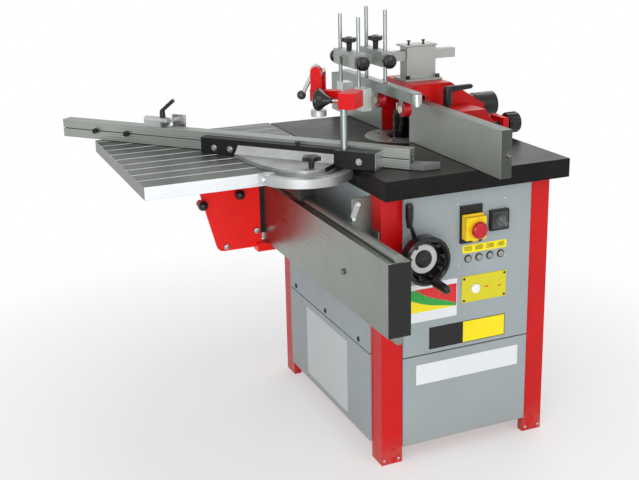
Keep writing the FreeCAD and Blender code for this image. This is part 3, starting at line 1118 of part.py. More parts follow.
def clamp():
    """Quick clamp on the mitre carrier: post, sliding arm, knob, cam lever and pad."""
    x, y = clamp_at
    post = rod("z", clamp_at, (holder_top - 32, arm_z1 + 1), size.clamp_radius)
    node("clamp_post", turn_mitre(post))
    half = size.arm_width / 2
    pad_x = size.arm_left
    end_x = size.arm_right
    arm = prism("z", [(pad_x - 20, y - half + 4), (end_x - 6, y - half + 4), (end_x - 6, y + half - 8),
            (end_x - 10, y + half - 4), (pad_x - 20, y + half - 4)], (arm_z0, arm_z1))
    boss = rod("z", clamp_at, (arm_z0 - 6, arm_z1 - 3), half + 1)
    lug = prism("z", [(size.lug_left, y), (size.lug_left, -size.lug_front), (end_x - 12, -size.lug_front),
            (end_x, -size.lug_front + 12), (end_x, y + 4), (end_x - 6, y + half - 4),
            (size.lug_left, y + half - 4)], (arm_z0 - 6, arm_z1 + 4))
    cheeks = []
    for ys in ((y - half, y - half + 8), (y + half - 8, y + half)):
        cheeks.append(box((pad_x - 16, pad_x + 16), ys, (arm_z1 - 2, tower_z - 16)))
        cheeks.append(rod("y", (pad_x, tower_z - 16), ys, 16))
    pivot_pin = rod("y", (pad_x, tower_z - 16), (y - half - 2, y + half + 2), 5)
    bore = rod("z", clamp_at, (arm_z0 - 10, arm_z1 + 10), size.clamp_radius + size.fit_clear)
    stem_hole = rod("z", (pad_x, y), (arm_z0 - 5, arm_z1 + 5), 6 + size.fit_clear)
    knob_at = (-size.arm_knob_side, size.table_top + size.arm_knob_rise)
    knob_hole = rod("x", knob_at, (size.lug_left - 1, size.lug_left + 20), 4 + size.fit_clear)
    node("clamp_arm", turn_mitre(cut(fuse(arm, boss, lug, *cheeks, pivot_pin), bore, stem_hole,
            knob_hole)))
    dish, wide = size.arm_knob_x, size.arm_knob_radius
    neck = size.lug_left - 24
    knob = turned("x", knob_at, [(0, dish - 9), (wide - 10, dish - 7), (wide - 2, dish - 2), (wide, dish + 4),
            (wide - 3, dish + 9), (wide - 13, dish + 20), (8, neck - 6), (8, neck), (0, neck)])
    stud = rod("x", knob_at, (neck, size.lug_left + 18), 4)
    node("arm_knob", turn_mitre(group(knob, stud)))
    cam = cut(rod("y", (pad_x, tower_z - 13), (y - 8, y + 8), size.cam_radius),
              rod("y", (pad_x, tower_z - 16), (y - 9, y + 9), 5 + size.fit_clear))
    tip = (pad_x - 53, arm_z0 + 14)
    link = prism("y", [(tower_z - 20, pad_x - 10), (tower_z - 8, pad_x - 15), (tip[1] + 4, tip[0] - 2),
            (tip[1] - 2, tip[0] + 6)],
                 (y - 4, y + 4))
    grip = ball(tip[0], y, tip[1], 13, seam=115)
    lever = cut(fuse(link, cam, grip), rod("y", (pad_x, tower_z - 16), (y - 9, y + 9),
            5 + size.fit_clear))
    node("cam_lever", turn_mitre(lever))
    low = arm_z0 - size.pad_drop - size.pad_thick
    disc = rod("z", (pad_x, y), (low, low + size.pad_thick), size.pad_radius)
    neck = rod("z", (pad_x, y), (low + 2, arm_z0 - 3), 9)
    stem = rod("z", (pad_x, y), (low + 2, tower_z - 13 - size.cam_radius - 0.4), 6)
    node("clamp_pad", turn_mitre(fuse(disc, neck, stem)))


def controls():
    """Switch, selector, lamps and button plate on the right-hand panel."""
    skin = panel_face
    plate_top = skin + size.switch_plate
    half_w2, half_t = size.switch_wide / 2, size.switch_tall / 2
    base = box((skin, plate_top), (size.switch_y - half_w2, size.switch_y + half_w2),
            (size.switch_z - half_t, size.switch_z + half_t))
    half = size.selector_size / 2
    body_top = skin + size.selector_deep
    selector = cut(box((skin, body_top), (size.selector_y - half, size.selector_y + half),
            (size.selector_z - half, size.selector_z + half)),
                   rod("x", (size.selector_y, size.selector_z), (body_top - 8, body_top + 1),
                           5 + size.fit_clear))
    lamps = [turned("x", (size.lamp_y + size.lamp_pitch * i, size.lamp_z), [
        (0, skin), (size.lamp_radius, skin), (size.lamp_radius, skin + 3),
                (size.lamp_radius - 3, skin + 7), (0, skin + 8)])
        for i in range(4)]
    lamps += [turned("x", (size.lamp_y + size.lamp_pitch * i, size.lamp_z), [
        (size.lamp_radius, skin), (size.bezel_radius, skin), (size.bezel_radius - 1, skin + 3.5),
                (size.lamp_radius, skin + 4)])
        for i in range(4)]
    wide, tall = size.plate_wide / 2, size.plate_tall / 2
    sheet_top = skin + size.plate_sheet
    plate = cut(box((skin, sheet_top), (size.plate_y - wide, size.plate_y + wide),
            (size.plate_z - tall, size.plate_z + tall)),
                rod("x", (size.button_y, size.plate_z), (skin - 1, sheet_top + 1),
                        size.button_radius + 0.3))
    screws = [rod("x", (size.plate_y + a * (wide - 7), size.plate_z + b * (tall - 7)),
            (sheet_top, sheet_top + 2), 3.5)
              for a in (-1, 1) for b in (-1, 1)]
    node("panel_controls", group(base, selector, *lamps, plate, *screws))
    low = plate_top + 0.4
    wide, tall = size.flap_wide / 2, size.flap_tall / 2
    flap_z = size.switch_z - size.flap_drop
    ys, zs = (size.switch_y - wide, size.switch_y + wide), (flap_z - tall, flap_z + tall)
    shell = box((low, low + size.flap_deep), ys, zs)
    inside = box((low - 1, low + size.flap_deep - 3), (ys[0] + 3, ys[1] - 3), (zs[0] + 3, zs[1] - 3))
    barrel = rod("y", (low + 5, zs[1]), ys, 5)
    tab = box((low + 4, low + size.flap_deep - 4), (size.switch_y - 9, size.switch_y + 9),
            (zs[0] - 6, zs[0] + 2))
    stem_at = (size.switch_y + 4, size.switch_z - 9)
    stem_hole = rod("x", stem_at, (low, low + size.flap_deep + 5), size.stem_radius + size.fit_clear)
    node("switch_flap", cut(fuse(cut(shell, inside), barrel, tab), stem_hole))
    cap = low + size.flap_deep + size.push_travel + 1
    r = size.mushroom_radius
    node("stop_button", turned("x", stem_at, [
        (0, low + 8), (size.stem_radius + 3, low + 8), (size.stem_radius + 3, low + 11),
                (size.stem_radius, low + 11),
        (size.stem_radius, cap), (r - 4, cap), (r, cap + 4), (r - 2, cap + 10), (r - 9, cap + 15),
                (0, cap + 16)]))
    at = (size.selector_y, size.selector_z)
    disc = rod("x", at, (body_top + 0.4, body_top + 8), size.selector_knob_radius)
    lean = math.radians(50)
    across, along = (math.cos(lean), math.sin(lean)), (-math.sin(lean), math.cos(lean))
    bar = prism("x", [(size.selector_y + a * across[0] + b * along[0],
            size.selector_z + a * across[1] + b * along[1])
            for a, b in ((-6, -16), (6, -16), (5, 20), (-5, 20))], (body_top + 7, body_top + 20))
    node("selector_knob", fuse(disc, bar, rod("x", at, (body_top - 6, body_top + 2), 5)))
    at = (size.button_y, size.plate_z)
    node("push_button", fuse(rod("x", at, (skin - 9, sheet_top + size.push_travel + 1),
            size.button_radius),
                             rod("x", at, (skin - 13, skin - 8), size.button_radius + 1)))


cabinet()
main_table()
screw_foot = quill_guide()
spindle_unit()
spindle()
lift(screw_foot)
fence()
hold_down()
guide_beam()
sliding_table()
mitre_fence()
clamp()
controls()
doc.recompute()

# Nothing is written unless every object is sound
for made in doc.Objects:
    if "Invalid" in made.State or "Error" in made.State:
        raise RuntimeError("%s (%s) failed: %s" % (made.Name, made.Label, made.State))
for made in NODES:
    if made.Shape.isNull() or not made.Shape.isValid() or not made.Shape.Solids:
        raise RuntimeError("%s has no sound shape" % made.Label)

# The shared origin lies on the floor, under the middle of the whole machine
whole = FreeCAD.BoundBox()
for made in NODES:
    whole.add(made.Shape.BoundBox)
shift = FreeCAD.Vector(-whole.Center.x, -whole.Center.y, -whole.ZMin)

os.makedirs("parts", exist_ok=True)
for made in NODES:
    shape = made.Shape.copy()
    shape.translate(shift)
    shape.exportStep("parts/%s.step" % made.Label)
print(len(NODES), "sub-parts written, origin moved by", tuple(shift))
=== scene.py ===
"""Looks for the spindle moulder: materials, rounded edges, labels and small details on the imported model."""

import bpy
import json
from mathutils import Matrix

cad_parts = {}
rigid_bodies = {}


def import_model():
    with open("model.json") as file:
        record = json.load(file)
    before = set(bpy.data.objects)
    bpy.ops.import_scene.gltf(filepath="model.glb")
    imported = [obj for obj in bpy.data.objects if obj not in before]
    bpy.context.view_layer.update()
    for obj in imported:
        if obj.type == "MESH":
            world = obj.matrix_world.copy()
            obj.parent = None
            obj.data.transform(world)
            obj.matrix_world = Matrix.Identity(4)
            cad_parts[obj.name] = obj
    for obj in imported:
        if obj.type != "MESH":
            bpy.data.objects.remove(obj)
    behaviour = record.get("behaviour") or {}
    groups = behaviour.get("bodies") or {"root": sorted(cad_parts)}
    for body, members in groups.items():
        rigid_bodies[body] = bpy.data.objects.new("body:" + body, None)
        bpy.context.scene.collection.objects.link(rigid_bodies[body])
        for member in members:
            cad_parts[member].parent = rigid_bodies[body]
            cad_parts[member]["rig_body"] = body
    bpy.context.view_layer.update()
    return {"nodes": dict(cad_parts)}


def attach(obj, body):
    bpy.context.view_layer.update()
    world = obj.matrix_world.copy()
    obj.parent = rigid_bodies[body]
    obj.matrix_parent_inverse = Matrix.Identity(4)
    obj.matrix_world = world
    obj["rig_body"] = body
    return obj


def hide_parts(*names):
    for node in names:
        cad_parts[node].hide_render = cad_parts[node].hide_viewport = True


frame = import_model()

import json
import math

import bmesh
import bpy
from mathutils import Matrix, Vector

scene = bpy.context.scene
NODES = frame["nodes"]

# The drawing's origin lies under the cabinet; the model's lies under the middle of the whole machine
OFFSET = Vector((-33.936, 287.753, 0.0))

# Places of the drawing, in millimetres
PANEL = 381.0
POST_FACE = 375.0
FRONT_FACE = -278.5
WHEEL = (-170, 636)
SELECTOR = (395, 95, 701)
LAMP_FIRST, LAMP_PITCH, LAMP_HIGH = -1, 36, 596
MITRE_PIVOT = (155, -405)
MITRE_TURN = math.radians(41.0)


def at(x, y, z):
    """A point of the drawing, in millimetres, as a point of the model in metres."""
    return (Vector((x, y, z)) + OFFSET) / 1000


def linear(red, green, blue):
    """A screen colour, 0 to 255, as linear light."""
    made = []
    for part in (red, green, blue):
        part /= 255
        made.append(part / 12.92 if part <= 0.04045 else ((part + 0.055) / 1.055) ** 2.4)
    return (*made, 1.0)


class Shader:
    """A material with one Principled shader and helpers for its textures."""

    def __init__(self, name, rough=0.5, metal=0.0, coat=0.0, specular=0.5):
        self.material = bpy.data.materials.new(name)
        self.material.use_nodes = True
        self.tree = self.material.node_tree
        self.shader = self.tree.nodes["Principled BSDF"]
        self.shader.inputs["Roughness"].default_value = rough
        self.shader.inputs["Metallic"].default_value = metal
        self.shader.inputs["Specular IOR Level"].default_value = specular
        if coat:
            self.shader.inputs["Coat Weight"].default_value = coat
            self.shader.inputs["Coat Roughness"].default_value = 0.12
        self.place = self.add("ShaderNodeTexCoord").outputs["Object"]
        self.normal = self.tree.nodes[-1].outputs["Normal"]
        self.height = None

    def add(self, kind, inputs=None, **settings):
        made = self.tree.nodes.new(kind)
        for key, value in settings.items():
            setattr(made, key, value)
        for key, value in (inputs or {}).items():
            self.put(made.inputs[key], value)
        return made

    def put(self, socket, value):
        if isinstance(value, bpy.types.NodeSocket):
            self.tree.links.new(value, socket)
        else:
            socket.default_value = value

    def stretched(self, scale):
        return self.add("ShaderNodeMapping", {"Vector": self.place, "Scale": scale}).outputs[0]

    def noise(self, scale, detail=3.0, stretch=None, rough=0.55):
        vector = self.stretched(stretch) if stretch else self.place
        return self.add("ShaderNodeTexNoise", {"Vector": vector, "Scale": scale, "Detail": detail,
                                               "Roughness": rough}).outputs["Fac"]

    def axis(self, letter, source=None):
        split = self.add("ShaderNodeSeparateXYZ", {0: source or self.place})
        return split.outputs["XYZ".index(letter)]

    def math(self, kind, a, b=0.0, c=0.0):
        return self.add("ShaderNodeMath", {0: a, 1: b, 2: c}, operation=kind).outputs[0]

    def spread(self, value, low, high, out_low=0.0, out_high=1.0):
        return self.add("ShaderNodeMapRange", {"Value": value, "From Min": low, "From Max": high,
                                               "To Min": out_low, "To Max": out_high}).outputs[0]

    def mix(self, share, a, b, blend="MIX"):
        made = self.add("ShaderNodeMix", data_type="RGBA", blend_type=blend)
        self.put(made.inputs[0], share)
        self.put(made.inputs[6], a)
        self.put(made.inputs[7], b)
        return made.outputs[2]

    def colour(self, value):
        self.put(self.shader.inputs["Base Color"], value)
        return self

    def rough(self, value, low, high):
        self.put(self.shader.inputs["Roughness"], self.spread(value, 0.3, 0.7, low, high))
        return self

    def raise_by(self, height, distance, strength=1.0):
        made = self.add("ShaderNodeBump", {"Height": height, "Distance": distance, "Strength": strength})
        if self.height is not None:
            self.put(made.inputs["Normal"], self.height)
        self.height = made.outputs[0]
        self.put(self.shader.inputs["Normal"], self.height)
        return self

    def bands(self, letter, period, share=0.5, soft=0.1):
        """1 in a repeating line across an axis, 0 between the lines."""
        turn = self.math("FRACT", self.math("DIVIDE", self.axis(letter), period))
        away = self.math("ABSOLUTE", self.math("SUBTRACT", turn, 0.5))
        return self.spread(away, share / 2 - soft / 2, share / 2 + soft / 2, 1.0, 0.0)


def shade(colour, factor):
    return (*(min(1.0, part * factor) for part in colour[:3]), 1.0)


def enamel(name, colour, rough=0.3, coat=0.05, peel=0.00006, floor_dust=True):
    made = Shader(name, rough, coat=coat, specular=0.25)
    tone = made.spread(made.noise(5.0, 4.0), 0.3, 0.7)
    base = made.mix(tone, shade(colour, 0.93), shade(colour, 1.05))
    worn = made.spread(made.add("ShaderNodeNewGeometry").outputs["Pointiness"], 0.53, 0.60, 0.0, 0.35)
    base = made.mix(worn, base, shade(colour, 1.25))
    if floor_dust:
        low = made.spread(made.axis("Z"), 0.0, 0.09, 0.35, 0.0)
        dusty = made.math("MULTIPLY", low, made.spread(made.noise(40.0, 5.0), 0.35, 0.65))
        base = made.mix(dusty, base, linear(150, 140, 128))
    made.colour(base)
    made.rough(made.noise(18.0, 4.0), rough - 0.05, rough + 0.09)
    made.raise_by(made.noise(650.0, 2.0), peel)
    return made.material


def powder(name, colour):
    made = Shader(name, 0.42, specular=0.3)
    tone = made.spread(made.noise(3.0, 5.0), 0.3, 0.7)
    base = made.mix(tone, shade(colour, 0.955), shade(colour, 1.03))
    speck = made.spread(made.noise(900.0, 2.0), 0.62, 0.72, 0.0, 0.22)
    base = made.mix(speck, base, shade(colour, 0.8))
    low = made.spread(made.axis("Z"), 0.05, 0.16, 0.3, 0.0)
    base = made.mix(made.math("MULTIPLY", low, made.noise(30.0, 5.0)), base, linear(150, 140, 128))
    made.colour(base)
    made.rough(made.noise(25.0, 4.0), 0.36, 0.5)
    made.raise_by(made.noise(1100.0, 2.0), 0.00005)
    return made.material


def metal(name, colour, rough=0.32, along=None, lines=0.00003, metallic=1.0, tone_by=0.12, stain=0.0):
    """Bare metal. along names the axis that its fine machining lines run with."""
    made = Shader(name, rough, metallic)
    stretch = [900.0, 900.0, 900.0]
    if along:
        stretch["XYZ".index(along)] = 6.0
    fine = made.noise(1.0, 3.0, stretch, 0.65)
    tone = made.spread(made.noise(9.0, 4.0), 0.3, 0.7)
    base = made.mix(tone, shade(colour, 1 - tone_by), shade(colour, 1 + tone_by * 0.6))
    base = made.mix(made.spread(fine, 0.35, 0.7, 0.0, 0.3), base, shade(colour, 0.72))
    if stain:
        spot = made.spread(made.noise(23.0, 6.0), 0.55, 0.75, 0.0, stain)
        base = made.mix(spot, base, linear(92, 84, 70))
    made.colour(base)
    made.rough(fine, rough - 0.07, rough + 0.13)
    made.raise_by(fine, lines)
    return made.material


def moulded(name, colour, rough=0.38, grain=0.00004, coat=0.0, vary=0.1):
    made = Shader(name, rough, coat=coat, specular=0.35)
    tone = made.spread(made.noise(60.0, 4.0), 0.3, 0.7)
    base = made.mix(tone, shade(colour, 1 - vary), shade(colour, 1 + vary))
    dust = made.spread(made.noise(140.0, 5.0), 0.6, 0.8, 0.0, vary * 0.5)
    made.colour(made.mix(dust, base, linear(150, 148, 140)))
    made.rough(made.noise(90.0, 3.0), rough - 0.06, rough + 0.1)
    made.raise_by(made.noise(1400.0, 2.0), grain)
    return made.material


def casting(name, colour, rough=0.45, metallic=0.9, grain=0.00018):
    made = Shader(name, rough, metallic)
    tone = made.spread(made.noise(14.0, 5.0), 0.3, 0.7)
    fine = made.noise(420.0, 3.0)
    base = made.mix(tone, shade(colour, 0.86), shade(colour, 1.08))
    base = made.mix(made.spread(fine, 0.55, 0.75, 0.0, 0.35), base, shade(colour, 0.6))
    made.colour(base)
    made.rough(fine, rough - 0.06, rough + 0.14)
    made.raise_by(fine, grain)
    return made.material


def table_iron(name):
    """Black painted edge and underside with a ground, oiled brown-grey top."""
    made = Shader(name, 0.34, 0.0, specular=0.12)
    upper = made.spread(made.axis("Z"), 0.8585, 0.8592)
    ground = made.noise(1.0, 4.0, (14.0, 700.0, 700.0), 0.7)
    cloud = made.spread(made.noise(6.0, 6.0), 0.3, 0.72)
    top = made.mix(cloud, linear(26, 25, 22), linear(40, 38, 34))
    top = made.mix(made.spread(ground, 0.4, 0.7, 0.0, 0.3), top, linear(52, 50, 45))
    black = made.mix(made.spread(made.noise(30.0, 4.0), 0.3, 0.7), linear(17, 17, 17), linear(27, 27, 26))
    made.colour(made.mix(upper, black, top))
    made.put(made.shader.inputs["Metallic"], made.math("MULTIPLY", upper, 0.08))
    gloss = made.spread(cloud, 0.0, 1.0, 0.36, 0.26)
    made.put(made.shader.inputs["Roughness"],
             made.add("ShaderNodeMix", {0: upper, 2: 0.42, 3: gloss}).outputs[0])
    made.raise_by(ground, 0.00004)
    made.raise_by(made.noise(500.0, 3.0), 0.00006)
    return made.material


def grooved(name, colour, letter, period, depth=0.0003, rough=0.36, along="X", share=0.3, paint_face_shade=True):
    """Extruded aluminium with fine grooves across one axis. The last argument turns on painted shade on the
    ends and top edge, picked by the way each face points.
    """
    made = Shader(name, rough, 0.85)
    groove = made.bands(letter, period, share, 0.2)
    stretch = [700.0, 700.0, 700.0]
    stretch["XYZ".index(along)] = 5.0
    fine = made.noise(1.0, 3.0, stretch, 0.6)
    tone = made.spread(made.noise(7.0, 4.0), 0.3, 0.7)
    base = made.mix(tone, shade(colour, 0.93), shade(colour, 1.05))
    # The grooves are painted darker: painted shade in them.
    base = made.mix(made.math("MULTIPLY", groove, 0.45), base, shade(colour, 0.45))
    base = made.mix(made.spread(fine, 0.4, 0.7, 0.0, 0.2), base, shade(colour, 0.75))
    if paint_face_shade:
        # Painted shade: the end faces and the top faces are darker because of the way they face the light.
        end_facing = made.spread(made.axis(along, made.normal), 0.5, 0.9)
        edge = made.spread(made.axis("Z", made.normal), 0.5, 0.9)
        base = made.mix(made.math("MAXIMUM", end_facing, edge), base, shade(colour, 0.14))
    made.colour(base)
    made.rough(fine, rough - 0.06, rough + 0.12)
    made.raise_by(made.math("SUBTRACT", 1.0, groove), depth)
    made.raise_by(fine, 0.00002)
    return made.material


def carrier_look(name):
    """Black bar and holder on a grey cast segment, told apart along and across the mitre fence."""
    made = Shader(name, 0.38, specular=0.3)
    pivot = at(*MITRE_PIVOT, 0)
    along_x, along_y = math.cos(MITRE_TURN), math.sin(MITRE_TURN)
    bar_back, bar_end, holder_end = 0.0449, 0.0822, 0.2078
    across_x = made.math("SUBTRACT", made.axis("X"), pivot.x)
    across_y = made.math("SUBTRACT", made.axis("Y"), pivot.y)
    length = made.math("ADD", made.math("MULTIPLY", across_x, along_x),
                       made.math("MULTIPLY", across_y, along_y))
    side = made.math("SUBTRACT", made.math("MULTIPLY", across_y, along_x),
                     made.math("MULTIPLY", across_x, along_y))
    grey = made.math("MULTIPLY", made.math("LESS_THAN", side, bar_back),
                     made.math("LESS_THAN", length, bar_end))
    bare = made.math("MAXIMUM", grey, made.math("GREATER_THAN", length, holder_end))
    fine = made.noise(420.0, 3.0)
    tone = made.spread(made.noise(16.0, 5.0), 0.3, 0.7)
    metal_tone = made.mix(tone, linear(158, 160, 160), linear(186, 188, 188))
    black = made.mix(tone, linear(15, 15, 16), linear(24, 24, 25))
    made.colour(made.mix(bare, black, metal_tone))
    made.put(made.shader.inputs["Metallic"], made.math("MULTIPLY", bare, 0.85))
    made.rough(fine, 0.32, 0.5)
    made.raise_by(fine, 0.00008)
    return made.material


def ribbed(name):
    """Extruded table: matt ribbed top and bright edges, partly machined finish and partly a painted
    highlight; the front and back ends carry painted shade.
    """
    made = Shader(name, 0.34, 0.85)
    facing = made.spread(made.axis("Z", made.normal), 0.5, 0.9)
    fine = made.noise(1.0, 3.0, (700.0, 5.0, 700.0), 0.6)
    tone = made.spread(made.noise(7.0, 5.0), 0.3, 0.7)
    top = made.mix(tone, linear(92, 96, 90), linear(106, 110, 104))
    # The edges are near white: partly their bright machined finish, partly a painted highlight.
    side = made.mix(tone, linear(236, 240, 244), linear(248, 252, 255))
    # Painted shade: the ends that point along Y are painted darker than the other edges.
    shaded_end = made.spread(made.math("ABSOLUTE", made.axis("Y", made.normal)), 0.5, 0.9)
    side = made.mix(shaded_end, side, linear(128, 131, 126))
    base = made.mix(facing, side, top)
    made.colour(made.mix(made.spread(fine, 0.35, 0.7, 0.0, 0.25), base, linear(100, 102, 98)))
    made.rough(fine, 0.3, 0.48)
    made.raise_by(fine, 0.00003)
    return made.material


def selector_look(name):
    """Black frame with a dark grey face."""
    made = Shader(name, 0.36, specular=0.35)
    centre = at(*SELECTOR)
    half, skin = 0.0245, 0.0012
    inside = made.math("GREATER_THAN", made.axis("X"), centre.x - skin)
    for letter, middle in (("Y", centre.y), ("Z", centre.z)):
        away = made.math("ABSOLUTE", made.math("SUBTRACT", made.axis(letter), middle))
        inside = made.math("MULTIPLY", inside, made.math("LESS_THAN", away, half))
    made.colour(made.mix(inside, linear(20, 20, 21), linear(66, 68, 68)))
    made.raise_by(made.noise(1400.0, 2.0), 0.00003)
    return made.material


def part_look(name, colour, rough, picks):
    """Metal whose colour and gloss differ where a test on the place says so."""
    made = Shader(name, rough, 1.0)
    fine = made.noise(1.0, 3.0, (8.0, 700.0, 700.0), 0.6)
    tone = made.spread(made.noise(9.0, 4.0), 0.3, 0.7)
    base = made.mix(tone, shade(colour, 0.93), shade(colour, 1.05))
    gloss, bare = rough, 1.0
    for test, other, other_rough, other_metal in picks:
        here = test(made)
        base = made.mix(here, base, other)
        gloss = made.add("ShaderNodeMix", {0: here, 2: gloss, 3: other_rough}).outputs[0]
        bare = made.add("ShaderNodeMix", {0: here, 2: bare, 3: other_metal}).outputs[0]
    made.colour(made.mix(made.spread(fine, 0.35, 0.7, 0.0, 0.15), base, shade(colour, 0.6)))
    made.put(made.shader.inputs["Roughness"], gloss)
    made.put(made.shader.inputs["Metallic"], bare)
    made.raise_by(fine, 0.00002)
    return made.material


def beyond(letter, place, kind="GREATER_THAN"):
    """A test for one side of a plane across an axis."""
    return lambda made: made.math(kind, made.axis(letter), place)


def near(centre, radius):
    """A test for the places within a radius of a point."""
    def test(made):
        away = made.add("ShaderNodeVectorMath", {0: made.place, 1: centre}, operation="DISTANCE")
        return made.math("LESS_THAN", away.outputs["Value"], radius)
    return test


RED = enamel("red_enamel", linear(196, 14, 16))
# The carriage's red is painted lighter than the cabinet's red: painted light for a plate that sits in shade
# under the table.
RED_LIT_PLATE = enamel("red_plate_painted_lighter", linear(246, 30, 26), floor_dust=False)
RED_CAST = enamel("red_casting", linear(206, 14, 16), 0.34, 0.05, 0.00022, floor_dust=False)
GREY = powder("grey_enamel", linear(156, 165, 168))
IRON = table_iron("cast_table")
DARK_IRON = casting("dark_casting", linear(52, 52, 54), 0.5, 0.2)
FENCE = grooved("fence_plate", linear(192, 198, 191), "Z", 0.0055, 0.00025, 0.36, "X", 0.22)
# The left plate is the same aluminium as the right one, painted darker as painted shade.
FENCE_LEFT_SHADED = grooved("fence_plate_left", linear(146, 151, 144), "Z", 0.0055, 0.00025, 0.4, "X", 0.22)
BEAM = metal("beam_aluminium", linear(142, 146, 140), 0.27, "X", 0.00003, 1.0, 0.06)
ROD_TONE = linear(150, 156, 154)
CHROME_TONE = linear(190, 194, 194)
HUB_TONE = linear(228, 220, 196)
ROLLER_BEAM = part_look("roller_beam", linear(140, 146, 142), 0.4, [
    (beyond("X", at(180.5, 0, 0).x), CHROME_TONE, 0.15, 1.0),
    (beyond("Y", at(0, -74.2, 0).y, "LESS_THAN"), HUB_TONE, 0.4, 0.0),
    (beyond("Z", at(0, 0, 1044.3).z), ROD_TONE, 0.3, 1.0)])
SHOE = part_look("presser_shoe", linear(192, 196, 194), 0.34, [
    (beyond("Z", at(0, 0, 1036.3).z), ROD_TONE, 0.3, 1.0)])
CAM = part_look("cam_lever", linear(206, 208, 208), 0.2, [
    (near(at(107.4, -386.8, 1056), 0.0138), linear(20, 20, 21), 0.22, 0.0)])
PROFILE = grooved("profile_aluminium", linear(166, 171, 166), "Z", 0.0075, 0.0003, 0.42, "X", 0.2, False)
SLIDE = ribbed("table_aluminium")
CAST_ALU = casting("cast_aluminium", linear(186, 188, 188), 0.4, 0.9, 0.00008)
WEDGE = casting("wedge_aluminium", linear(116, 120, 118), 0.5, 0.6, 0.00008)
PLATE_ALU = metal("plate_aluminium", linear(170, 174, 170), 0.46, "Z", 0.00003, 0.6, 0.06)
STEEL = metal("turned_steel", linear(188, 189, 190), 0.26, None, 0.00002)
RAIL = metal("guide_rod", linear(138, 142, 136), 0.32, "X", 0.00001, stain=0.2)
CHROME = metal("bright_chrome", linear(222, 223, 224), 0.09, None, 0.000004, 1.0, 0.03)
ZINC = metal("zinc_plate", linear(130, 136, 130), 0.46, None, 0.00004, 0.95, 0.1)
RING = metal("ring_steel", linear(176, 177, 174), 0.36, "X", 0.00003, 0.7, 0.08, 0.1)
BLACK_STEEL = metal("black_steel", linear(26, 26, 28), 0.22, None, 0.00003, 0.5)
BLACK = moulded("black_plastic", linear(20, 20, 21), 0.34)
BAKELITE = moulded("black_bakelite", linear(20, 20, 21), 0.2, 0.00002, 0.2)
YELLOW = moulded("yellow_plastic", linear(244, 206, 24), 0.34, 0.00003)
RED_PLASTIC = moulded("red_plastic", linear(182, 20, 34), 0.3, 0.00002, 0.05)
POST = metal("clamp_post", linear(158, 166, 166), 0.3, "Z", 0.00001)
DIAL = moulded("dial_grey", linear(206, 208, 206), 0.3, vary=0.03)
WHITE = moulded("white_plastic", linear(236, 236, 230), 0.34)
LENS = moulded("lamp_lens", linear(150, 152, 148), 0.12, 0.00001, 0.3)
KNOB_GREY = moulded("knob_grey", linear(96, 98, 98), 0.36)
PLATE_PALE = moulded("plate_pale", linear(196, 201, 202), 0.42, 0.00001, vary=0.008)
RUBBER = moulded("belt_rubber", linear(22, 22, 22), 0.75, 0.0001)
MOTOR = enamel("motor_paint", linear(120, 126, 130), 0.42, 0.1, 0.00008, floor_dust=False)
LABEL_WHITE = moulded("label_white", linear(226, 229, 234), 0.3, 0.00001, vary=0.006)
LABEL_YELLOW = moulded("label_yellow", linear(246, 226, 20), 0.3, 0.00001, vary=0.025)
LABEL_OCHRE = moulded("label_ochre", linear(214, 203, 36), 0.32, 0.00001, vary=0.025)
LABEL_BLACK = moulded("label_black", linear(24, 24, 24), 0.3, 0.00001, vary=0.025)
LABEL_RED = moulded("label_red", linear(214, 30, 34), 0.3, 0.00001, vary=0.025)
LABEL_GREEN = moulded("label_green", linear(38, 160, 62), 0.3, 0.00001, vary=0.025)


def components(mesh):
    """Groups of faces that share vertices."""
    left = set(mesh.faces)
    while left:
        todo = [left.pop()]
        group = list(todo)
        while todo:
            for vert in todo.pop().verts:
                for face in vert.link_faces:
                    if face in left:
                        left.discard(face)
                        group.append(face)
                        todo.append(face)
        yield group


def dress(node, material, edge=0.8, segments=2, rules=(), angle=34):
    """A copy of a node with small rounded edges and its own materials. It stands for the node.
    rules gives other materials to those of its solids that a test on their box picks."""
    source = NODES[node]
    mesh = bmesh.new()
    mesh.from_mesh(source.data)
    bmesh.ops.remove_doubles(mesh, verts=mesh.verts, dist=2e-6)
    bmesh.ops.dissolve_limit(mesh, angle_limit=math.radians(0.4), verts=mesh.verts, edges=mesh.edges)
    used = [material]
    for faces in components(mesh):
        corners = [vert.co * 1000 - OFFSET for face in faces for vert in face.verts]
        low = Vector(min(c[i] for c in corners) for i in range(3))
        high = Vector(max(c[i] for c in corners) for i in range(3))
        for test, other in rules:
            if test(low, high):
                if other not in used:
                    used.append(other)
                for face in faces:
                    face.material_index = used.index(other)
                break
        else:
            for face in faces:
                face.material_index = 0
    data = bpy.data.meshes.new(node + "_skin")
    mesh.to_mesh(data)
    mesh.free()
    for each in used:
        data.materials.append(each)
    made = bpy.data.objects.new(node + "_skin", data)
    scene.collection.objects.link(made)
    for face in data.polygons:
        face.use_smooth = True
    data.set_sharp_from_angle(angle=math.radians(angle))
    if edge:
        bevel = made.modifiers.new("edge", "BEVEL")
        bevel.width = edge / 1000
        bevel.segments = segments
        bevel.limit_method = "ANGLE"
        bevel.angle_limit = math.radians(angle)
        bevel.use_clamp_overlap = True
        flat = made.modifiers.new("flat", "WEIGHTED_NORMAL")
        flat.keep_sharp = True
        graph = bpy.context.evaluated_depsgraph_get()
        final = bpy.data.meshes.new_from_object(made.evaluated_get(graph))
        made.modifiers.clear()
        made.data = final
    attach(made, source["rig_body"])
    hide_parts(node)
    return made


def paint(node, material):
    """A node that keeps its own mesh."""
    slots = NODES[node].data.materials
    slots.clear()
    slots.append(material)


def tall(low, high):
    return high.z - low.z


def wide(low, high):
    return high.x - low.x


for name, finish in {
    "quill_guide": DARK_IRON, "quill": STEEL, "spindle_bearings": CHROME, "motor_carrier": DARK_IRON,
    "motor_body": MOTOR, "drive_belt": RUBBER, "motor_pulley": STEEL, "lift_screw": STEEL,
}.items():
    paint(name, finish)

